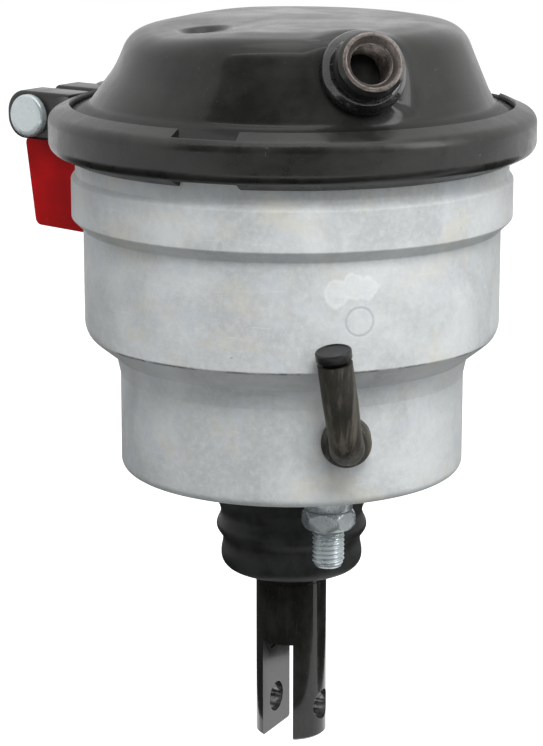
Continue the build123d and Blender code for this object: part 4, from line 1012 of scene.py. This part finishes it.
def ear_block(name, start, tip, tip_roll, top):
    """One ear: a bar with a rounded tip carried along the bolt, its edges rolled over by
    insetting the outline near both faces."""
    thickness, roll, deep = EAR_OUTER - LUG_HALF_GAP, 1.3, 6
    corners = [(EAR_ROOT, -EAR_HALF), (tip, -EAR_HALF), (tip, top), (EAR_ROOT, top)]
    outline = closed_outline(corners, [0.5, 8.4, tip_roll - 0.6, 0.5], 12)
    middle = np.array([(EAR_ROOT + tip) / 2, (top - EAR_HALF) / 2])
    half = np.array([(tip - EAR_ROOT) / 2, (top + EAR_HALF) / 2])
    t = np.linspace(0, pi / 2, 5)
    inset = roll * (1 - np.sin(t))
    along = roll * (1 - np.cos(t))
    insets = np.concatenate([[deep], inset, inset[::-1], [deep]])
    levels = np.concatenate([[0], along, thickness - along[::-1], [thickness]])
    flat = middle + (outline - middle)[None] * (1 - insets[:, None, None] / half)
    depth = np.broadcast_to((start + levels)[:, None, None], flat.shape[:2] + (1,))
    grid = lug_frame(np.concatenate([flat, depth], axis=2))
    parts = [surface(grid), fan(grid[0]), fan(grid[-1])]
    return solid(name, parts, ring_paint(), "ring_paint", angle=60)


# ------------------------------------------------------------------ clamp bolt and gap guard
WASHER_THICK = 2
CLAMP_NUT_HIGH = 8.4
BOLT_R = 5.0


def washer(outer, inner, bottom, top, edge):
    """A washer turned from a section with rolled edges."""
    corners = [(inner, bottom), (outer, bottom), (outer, top), (inner, top)]
    return turned(closed_outline(corners, [edge] * 4, 4), 72)


class CHAMBER_OT_clamp_bolt(bpy.types.Operator):
    """Clamp bolt with a round pressed head, a washer and a nut"""

    bl_idname = "chamber.clamp_bolt"
    bl_label = "Clamp bolt"

    def execute(self, context):
        centre = LUG_OUT * BOLT_AXIS_R + np.array([0, 0, LUG_Z])
        back, nut_from = -EAR_OUTER, EAR_OUTER + WASHER_THICK
        far, thread_from = nut_from + CLAMP_NUT_HIGH, EAR_OUTER - 6
        head = [(0, back - 3.55), (6.0, back - 3.4), (8.35, back - 3.0), (8.35, back), (BOLT_R, back)]
        head = rounded(head, [5, 1.1, 0.3], 6)
        end = [(BOLT_R, far), (BOLT_R, far + 3.9), (4.2, far + 4), (0, far + 4)]
        end = rounded(end, [0.6, 0.2], 3)
        body = np.concatenate([head, [(BOLT_R, thread_from)]])
        shank = thread_wall(4.5, BOLT_R, 1.5, thread_from, far + 3.4, 48, 8)

        def along(grid, **wraps):
            return surface(placed(grid, centre, LUG_OUT, LUG_ALONG), **wraps)

        bolt = [along(turned(body, 72)), along(shank), along(turned(end[1:], 48))]
        solid("clamp_bolt_body", bolt, zinc_plate(), "zinc", "clamp_bolt")
        nut = hex_nut(16, BOLT_R + 0.05, CLAMP_NUT_HIGH) + [0, 0, nut_from]
        nut = [along(nut, wrap_rows=True)]
        solid("clamp_hex_nut", nut, dull_zinc(), "zinc", "clamp_nut", angle=25)
        ring = [along(washer(9, 5.3, EAR_OUTER, nut_from, 0.35), wrap_rows=True)]
        solid("clamp_plain_washer", ring, dull_zinc(), "zinc", "clamp_washer")
        return {"FINISHED"}


class CHAMBER_OT_gap_guard(bpy.types.Operator):
    """Moulded guard that fills the ring's gap and hangs down the housing"""

    bl_idname = "chamber.gap_guard"
    bl_label = "Gap guard"

    def execute(self, context):
        look = (red_plastic(), "red_plastic")
        guard = softened_copy("gap_guard", "moulded_guard", *look, FIXED_BODY, 0.9)
        vertices = guard.data.vertices
        points = np.empty(len(vertices) * 3)
        vertices.foreach_get("co", points)
        points = points.reshape(-1, 3) / MM
        outer = bell(98 - points @ LUG_OUT, 0, 6)
        low = points[:, 2] < points[:, 2].min() + 4
        points += outer[:, None] * 1.8 * LUG_OUT
        points[:, 2] -= low * (1 - outer) * 1.2
        vertices.foreach_set("co", points.ravel() * MM)
        return {"FINISHED"}


# ------------------------------------------------------------------ mounting studs
STUD_ANGLE = -74.6
STUD_CIRCLE_R = 50.0
STUD_R = 6.0
STUD_NUT_FROM, STUD_NUT_HIGH = -11.6, 7


class CHAMBER_OT_studs(bpy.types.Operator):
    """Mounting studs with their threads, washers and chamfered hexagon nuts"""

    bl_idname = "chamber.studs"
    bl_label = "Mounting studs"

    def execute(self, context):
        bottom, head = STUDS_LOW.z, STUDS_HIGH.z
        taper, thread_top = bottom + 0.9, -10.6
        upper = [(STUD_R, thread_top), (STUD_R, 12), (8.5, 12), (8.5, head), (0, head)]
        upper = turned(rounded(upper, [0.3, 0.3, 0.8], 4), 64)
        point = turned(rounded([(0, bottom), (4.7, bottom), (5.35, taper)], [0.3], 3), 56)
        wall = thread_wall(5.15, 5.95, size("thread_pitch"), taper, thread_top, 56, 10)
        ring = washer(9.0, 6.3, -4.6, 0.4, 0.8)
        nut = hex_nut(18, 6.05, STUD_NUT_HIGH, 0.2)
        studs, nuts, washers = [], [], []
        for angle, spin in ((STUD_ANGLE, 17), (STUD_ANGLE + 180, 28)):
            origin = polar(angle, STUD_CIRCLE_R, 0)
            studs += [surface(grid + origin) for grid in (upper, point, wall)]
            spun = placed(nut, origin + [0, 0, STUD_NUT_FROM], polar(spin, 1, 0), (0, 0, 1))
            nuts.append(surface(spun, wrap_rows=True))
            washers.append(surface(ring + origin, wrap_rows=True))
        solid("threaded_studs", studs, zinc_plate(), "zinc", "mounting_studs")
        solid("stud_hex_nuts", nuts, dull_zinc(), "zinc", "stud_nuts", angle=25)
        solid("stud_thick_washers", washers, zinc_plate(), "zinc", "stud_washers")
        return {"FINISHED"}


# ------------------------------------------------------------------ vent
VENT_FOOT = np.array([19.2, -52.0, 25.2])
VENT_CORNER = np.array([19.2, -80.6, 25.2])
VENT_UP = np.array([-tan(radians(8)), -tan(radians(9)), 1.0])
VENT_RISE = 34.1
VENT_R = 6.3
TOWARDS_FRONT = np.array([0, -1.0, 0])
HOUSING_FACE_R = 67.3
SEAT_R = 66.0


def bent_path(start, corner, end, radius, steps=14):
    """Two straight runs joined by an arc that touches both."""
    a, b = start - corner, end - corner
    a, b = a / np.linalg.norm(a), b / np.linalg.norm(b)
    half = np.arccos(a @ b) / 2
    reach = radius / np.tan(half)
    centre = corner + (a + b) / np.linalg.norm(a + b) * radius / np.sin(half)
    p, q = corner + a * reach - centre, corner + b * reach - centre
    span = np.arccos(np.clip(p @ q / radius**2, -1, 1))
    t = np.linspace(0, 1, steps)[:, None]
    arc = centre + (np.sin((1 - t) * span) * p + np.sin(t * span) * q) / np.sin(span)
    first = start + (arc[0] - start) * np.linspace(0, 1, 8)[:-1, None]
    last = arc[-1] + (end - arc[-1]) * np.linspace(0, 1, 16)[1:, None]
    return np.concatenate([first, arc, last])


def grommet():
    """The grommet's collar, with the back of its flange laid on the housing's round wall."""
    front = HOUSING_FACE_R + VENT_FOOT[1]
    throat, neck, flange = 3.4, 8.0, 9.2
    collar = [
        (throat, 4),
        (neck, 4),
        (neck, front - 2),
        (flange, front - 2),
        (flange, front - 0.3),
        (7.4, front + 1.2),
        (throat, front + 1.4),
    ]
    grid = turned(closed_outline(collar, [0.2, 0.2, 0.2, 0.1, 0.6, 0.5, 0.3], 5), 96)
    wall = np.sqrt(SEAT_R**2 - (grid[..., 0] + VENT_FOOT[0]) ** 2) + VENT_FOOT[1]
    back = (from_axis(grid) > neck + 0.3) & (grid[..., 2] < front - 1.2)
    grid[..., 2] = np.where(back, wall, grid[..., 2])
    return surface(placed(grid, VENT_FOOT, (1, 0, 0), TOWARDS_FRONT), wrap_rows=True)


class CHAMBER_OT_vent(bpy.types.Operator):
    """Vent elbow: a bent rubber tube in a round grommet, closed by a cap"""

    bl_idname = "chamber.vent"
    bl_label = "Vent elbow"

    def execute(self, context):
        end = VENT_CORNER + VENT_UP * VENT_RISE
        path = bent_path(VENT_FOOT, VENT_CORNER, end, 10)
        along = np.linspace(0, 1, len(path))
        radii = VENT_R + 0.2 * np.sin(along * 9.0) * bell(np.abs(along - 0.5), 0.1, 0.5)
        shell = np.concatenate([tube(path, radii, 48), tube(path, 4.5, 48)[::-1]])
        elbow = [surface(shell, wrap_rows=True)]
        solid("vent_tube", elbow, aged_rubber(), "vent_rubber", "vent_elbow")
        rim, plug = 6.5, 4.2
        cap = [(0, 4.5), (5.4, 4.6), (5.7, 5.0), (rim, 5.0), (rim, 1.8), (5.9, 1.4)]
        cap += [(plug, 0.05), (plug, -6), (0, -6)]
        cap = turned(rounded(cap, [0.3, 0.2, 0.6, 0.5, 0.1, 0.1, 0.5], 4), 64)
        cap = [surface(placed(cap, end, TOWARDS_FRONT, VENT_UP))]
        solid("vent_end_cap", cap, cap_rubber(), "vent_rubber", "vent_cap")
        solid("vent_round_grommet", [grommet()], aged_rubber(), "vent_rubber", "vent_grommet")
        return {"FINISHED"}


# ------------------------------------------------------------------ bellows, diaphragm, spring
BELLOWS_WALL = 1.6
BELLOWS_CRESTS = np.array(
    [(29.0, -6.3), (29.0, -13), (27.5, -18.65), (29.2, -24.3), (26.7, -29.8), (27.4, -35.3)]
)


def stretched_between(obj):
    """Bake the piece's placement into its mesh."""
    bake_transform(obj)


class CHAMBER_OT_bellows(bpy.types.Operator):
    """Rubber bellows: a waved tube from the guide's neck to the yoke"""

    bl_idname = "chamber.bellows"
    bl_label = "Bellows"

    def execute(self, context):
        top, bottom = BELLOWS_CRESTS[0, 1], BELLOWS_CRESTS[-1, 1]
        z = np.linspace(top, bottom, 90)
        order = np.searchsorted(-BELLOWS_CRESTS[:, 1], -z, side="right")
        order = order.clip(1, len(BELLOWS_CRESTS) - 1)
        (ar, az), (br, bz) = BELLOWS_CRESTS[order - 1].T, BELLOWS_CRESTS[order].T
        r = ar + (br - ar) * (1 - np.cos(pi * (z - az) / (bz - az))) / 2
        skin = np.stack([r, z], axis=1)
        lining = skin[::-1] - [BELLOWS_WALL, 0]
        cuff, cuff_low, bead, bead_top = 13.9, -41.6, 24.05, 1.7
        foot = [skin[-1], (27.4, cuff_low), (cuff, cuff_low), (cuff - 0.1, -36)]
        foot = rounded(foot, [5.6, 0.3], 9)[1:]
        neck = rounded([(bead, top), (bead, bead_top), (29, bead_top), skin[0]], [0.3, 0.8], 4)[:-1]
        inside = np.array([(15.4, -36), (15.4, -40), (21.8, -40)])
        grid = turned(np.concatenate([neck, skin, foot, inside, lining]), 144)
        parts = [surface(grid, wrap_rows=True)]
        look = (bellows_rubber(), "rubber")
        obj = solid("waved_bellows", parts, *look, "bellows", body=None, angle=60)
        stretched_between(obj)
        return {"FINISHED"}


class CHAMBER_OT_diaphragm(bpy.types.Operator):
    """Rubber diaphragm: a dish held by its bead"""

    bl_idname = "chamber.diaphragm"
    bl_label = "Diaphragm"

    def execute(self, context):
        low, high = (corner.z for corner in box("diaphragm"))
        thick = 3.2
        upper = [(0, high), (57, high), (68.5, 141), (80, 133.4), (RIM_R, low + 3.7)]
        lower = [(0, high - thick), (54, high - thick), (65, low), (RIM_R, low)]
        upper = spread(rounded(upper, [6, 8, 3]), 2.5)
        lower = spread(rounded(lower, [3, 3])[::-1], 2.5)
        parts = [surface(turned(np.concatenate([upper, lower]), 96))]
        look = (bellows_rubber(), "rubber")
        obj = solid("rolled_diaphragm", parts, *look, "diaphragm", body=None, angle=60)
        stretched_between(obj)
        return {"FINISHED"}


class CHAMBER_OT_spring(bpy.types.Operator):
    """Return spring: a wire helix between the housing's floor and the push plate"""

    bl_idname = "chamber.spring"
    bl_label = "Return spring"

    def execute(self, context):
        low, high = box("return_spring")
        wire, rise, end_coil = 2.25, 19, 5
        coil_r, bottom, top = high.x - wire, low.z + wire, high.z - wire
        t = np.linspace(0, 2 * pi * (top - bottom) / rise, 460)
        z = bottom + (top - bottom) * t / t[-1]
        grid = tube(around(coil_r, t, z), wire, 14)
        parts = [surface(grid), fan(grid[0]), fan(grid[-1])]
        look = (gloss_black(), "spring_steel")
        obj = solid("coiled_spring", parts, *look, "return_spring", body=None)
        stretched_between(obj)
        return {"FINISHED"}


# ------------------------------------------------------------------ yoke and hidden pieces
class CHAMBER_OT_yoke(bpy.types.Operator):
    """Forked yoke: the machined bar with rolled edges, in thin rubbed black"""

    bl_idname = "chamber.yoke"
    bl_label = "Yoke"

    def execute(self, context):
        look = (machined_black(), "black_paint")
        softened_copy("yoke", "forked_yoke", *look, MOVING_BODY, 0.45)
        return {"FINISHED"}


class CHAMBER_OT_inner(bpy.types.Operator):
    """Finishes of the pieces inside: guide, bush, wiper, plates, rod and collar"""

    bl_idname = "chamber.inner"
    bl_label = "Inner pieces"

    def execute(self, context):
        for node, look in {
            "rod_guide": guide_plastic,
            "guide_bush": bronze,
            "rod_wiper": bellows_rubber,
            "stud_plate": zinc_plate,
            "push_plate": plain_steel,
            "push_rod": plain_steel,
            "rod_collar": plain_steel,
        }.items():
            materials = NODES[node].data.materials
            materials.clear()
            materials.append(look())
        return {"FINISHED"}


# ------------------------------------------------------------------ stage
CAMERA_PITCH = 13.4
CAMERA_DISTANCE = 1.0
CAMERA_AIM = (-0.0078, 0.0, 0.0354)
CAMERA_LENS = 125.5
CARD_REACH = 1.6
CARD_GRID = (16, 30)
CARD_SHEETS = (
    (-0.75, 0.75, -2.2, -0.70),
    (-0.75, 0.75, -0.42, -0.05),
    (-0.75, -0.03, -0.05, 0.5),
    (0.06, 0.75, 0.0, 0.5),
)
FLOOR_REACH = 3.0


def joined(tree, kind, *inputs, **settings):
    """A node whose first inputs are linked to the given outputs, and its first output."""
    made = tree.nodes.new(kind)
    for key, value in settings.items():
        setattr(made, key, value)
    for socket, value in zip(made.inputs, inputs):
        tree.links.new(value, socket)
    return made.outputs[0] if made.outputs else made


def plain_shader(tree, kind, grey, **values):
    """A shader of one colour, whose other inputs are set by name."""
    made = tree.nodes.new(kind)
    made.inputs["Color"].default_value = (*grey, 1)
    for label, value in values.items():
        made.inputs[label].default_value = value
    return made.outputs[0]


def ray_mix(tree, seen, unseen):
    """A shader that camera, glossy and transmission rays see one way and other rays another."""
    rays = tree.nodes.new("ShaderNodeLightPath").outputs
    either = rays["Is Camera Ray"]
    for kind in ("Is Glossy Ray", "Is Transmission Ray"):
        either = joined(tree, "ShaderNodeMath", either, rays[kind], operation="MAXIMUM")
    return joined(tree, "ShaderNodeMixShader", either, unseen, seen)


def softbox(name, place, height_of_target, width, height, power, in_gloss=True):
    """A rectangular studio light that faces a point of the chamber's axis."""
    data = bpy.data.lights.new(name, "AREA")
    data.shape = "RECTANGLE"
    data.size = width
    data.size_y = height
    data.energy = power
    lamp = bpy.data.objects.new(name, data)
    bpy.context.scene.collection.objects.link(lamp)
    lamp.location = place
    towards = Vector((0, 0, height_of_target)) - Vector(place)
    lamp.rotation_euler = towards.to_track_quat("-Z", "Y").to_euler()
    lamp.visible_glossy = in_gloss


def sheet(left, right, near, far, level):
    """The corners and face of a level rectangle."""
    corners = [(left, near), (right, near), (right, far), (left, far)]
    return np.array([(x, y, level) for x, y in corners]), [(0, 1, 2, 3)]


def scenery(name, parts):
    """A mesh of the stage, which isn't part of the chamber, with a material of its own."""
    points = np.concatenate([part[0].reshape(-1, 3) for part in parts])
    faces, first = [], 0
    for grid, quads in parts:
        faces += (np.asarray(quads) + first).tolist()
        first += grid.size // 3
    mesh = bpy.data.meshes.new(name)
    mesh.from_pydata(points.tolist(), [], faces)
    obj = bpy.data.objects.new(name, mesh)
    bpy.context.scene.collection.objects.link(obj)
    material = bpy.data.materials.new(name)
    material.use_nodes = True
    mesh.materials.append(material)
    return obj, material.node_tree


class CHAMBER_OT_stage(bpy.types.Operator):
    """Camera, white surroundings, floor and soft lights"""

    bl_idname = "chamber.stage"
    bl_label = "Stage"

    def execute(self, context):
        self.camera(context.scene)
        self.surroundings(context.scene)
        self.floor()
        softbox("right", (1.2, -0.55, 0.85), 0.07, 0.5, 1.2, 8.5)
        softbox("strip", (0, -0.42, 1.15), 0.1, 1.4, 0.07, 1.3)
        softbox("top", (0.1, 0.1, 1.15), 0.1, 0.7, 0.6, 1.2)
        softbox("left", (-1.2, -0.4, 0.85), 0.07, 0.4, 0.8, 2.0, in_gloss=False)
        softbox("front", (0.2, -0.95, 1.1), 0.07, 0.6, 0.5, 15.5, in_gloss=False)
        self.dark_cards()
        context.scene.view_settings.view_transform = "Standard"
        return {"FINISHED"}

    def camera(self, scene):
        """A long lens that looks down at the chamber by its pitch."""
        data = bpy.data.cameras.new("view")
        data.lens = CAMERA_LENS
        data.sensor_width = 36.0
        data.clip_end = 20.0
        camera = bpy.data.objects.new("view", data)
        scene.collection.objects.link(camera)
        pitch = radians(CAMERA_PITCH)
        camera.location = Vector(CAMERA_AIM) + Vector((0, -cos(pitch), sin(pitch))) * CAMERA_DISTANCE
        camera.rotation_euler = (pi / 2 - pitch, 0, 0)
        scene.camera = camera

    def surroundings(self, scene):
        """A white world that lights the chamber at a plain level."""
        world = bpy.data.worlds.new("surroundings")
        world.use_nodes = True
        scene.world = world
        tree = world.node_tree
        tree.nodes.clear()
        seen = plain_shader(tree, "ShaderNodeBackground", (1, 1, 1), Strength=1.0)
        unseen = plain_shader(tree, "ShaderNodeBackground", (0.96, 0.98, 1.0), Strength=0.42)
        joined(tree, "ShaderNodeOutputWorld", ray_mix(tree, seen, unseen))

    def dark_cards(self):
        """Black cards that only gloss shows: part of a sphere over the front, each point at the
        sphere's radius along its azimuth and rise, and sheets near the floor with gaps between."""
        rise = np.radians(np.linspace(3, 60, CARD_GRID[0]))[:, None]
        azimuth = np.radians(np.linspace(-146, -34, CARD_GRID[1]))[None]
        sphere = CARD_REACH * around(np.cos(rise), azimuth, np.sin(rise))
        parts = [surface(sphere, wrap_columns=False)]
        parts += [sheet(*edges, CAD_LOW.z - 1 * MM) for edges in CARD_SHEETS]
        cards, tree = scenery("dark_cards", parts)
        shader = tree.nodes["Principled BSDF"]
        shader.inputs["Base Color"].default_value = (0.01, 0.01, 0.01, 1)
        shader.inputs["Roughness"].default_value = 1.0
        cards.visible_camera = False
        cards.visible_diffuse = False
        cards.visible_transmission = False
        cards.visible_shadow = False

    def floor(self):
        """A wide pale floor under the fully stroked yoke that keeps a faint shadow and is clear
        from below."""
        level = CAD_LOW.z - STROKE - 2 * MM
        part = sheet(-FLOOR_REACH, FLOOR_REACH, -FLOOR_REACH, FLOOR_REACH, level)
        tree = scenery("floor", [part])[1]
        tree.nodes.clear()
        cloth = plain_shader(tree, "ShaderNodeBsdfDiffuse", (0.55, 0.55, 0.55))
        dull = plain_shader(tree, "ShaderNodeBsdfDiffuse", (0.32, 0.32, 0.32))
        glow = plain_shader(tree, "ShaderNodeEmission", (1, 1, 1), Strength=0.92)
        clear = plain_shader(tree, "ShaderNodeBsdfTransparent", (1, 1, 1))
        below = tree.nodes.new("ShaderNodeNewGeometry").outputs["Backfacing"]
        lit = joined(tree, "ShaderNodeAddShader", cloth, glow)
        above = ray_mix(tree, lit, dull)
        one_way = joined(tree, "ShaderNodeMixShader", below, above, clear)
        joined(tree, "ShaderNodeOutputMaterial", one_way)


# ------------------------------------------------------------------ add-on
OPERATORS = (
    CHAMBER_OT_stage,
    CHAMBER_OT_housing,
    CHAMBER_OT_cover,
    CHAMBER_OT_port,
    CHAMBER_OT_clamp_ring,
    CHAMBER_OT_clamp_bolt,
    CHAMBER_OT_gap_guard,
    CHAMBER_OT_studs,
    CHAMBER_OT_vent,
    CHAMBER_OT_bellows,
    CHAMBER_OT_diaphragm,
    CHAMBER_OT_spring,
    CHAMBER_OT_yoke,
    CHAMBER_OT_inner,
)


class CHAMBER_PT_panel(bpy.types.Panel):
    """Lists the chamber's sizes, finishes and pieces"""

    bl_idname = "CHAMBER_PT_panel"
    bl_label = "Air brake chamber"
    bl_space_type = "VIEW_3D"
    bl_region_type = "UI"
    bl_category = "Chamber"

    def draw(self, context):
        layout = self.layout
        for group in (context.scene.chamber_sizes, context.scene.chamber_finish):
            panel = layout.box()
            for key in group.__annotations__:
                panel.prop(group, key)
        for operator in OPERATORS:
            layout.operator(operator.bl_idname)


CLASSES = (ChamberSizes, ChamberFinish, *OPERATORS, CHAMBER_PT_panel)


def register():
    for cls in CLASSES:
        bpy.utils.register_class(cls)
    bpy.types.Scene.chamber_sizes = bpy.props.PointerProperty(type=ChamberSizes)
    bpy.types.Scene.chamber_finish = bpy.props.PointerProperty(type=ChamberFinish)


def unregister():
    del bpy.types.Scene.chamber_finish
    del bpy.types.Scene.chamber_sizes
    for cls in reversed(CLASSES):
        bpy.utils.unregister_class(cls)


def main():
    """Register the add-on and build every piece."""
    register()
    for operator in OPERATORS:
        getattr(bpy.ops.chamber, operator.bl_idname.removeprefix("chamber."))()


if __name__ == "__main__":
    main()
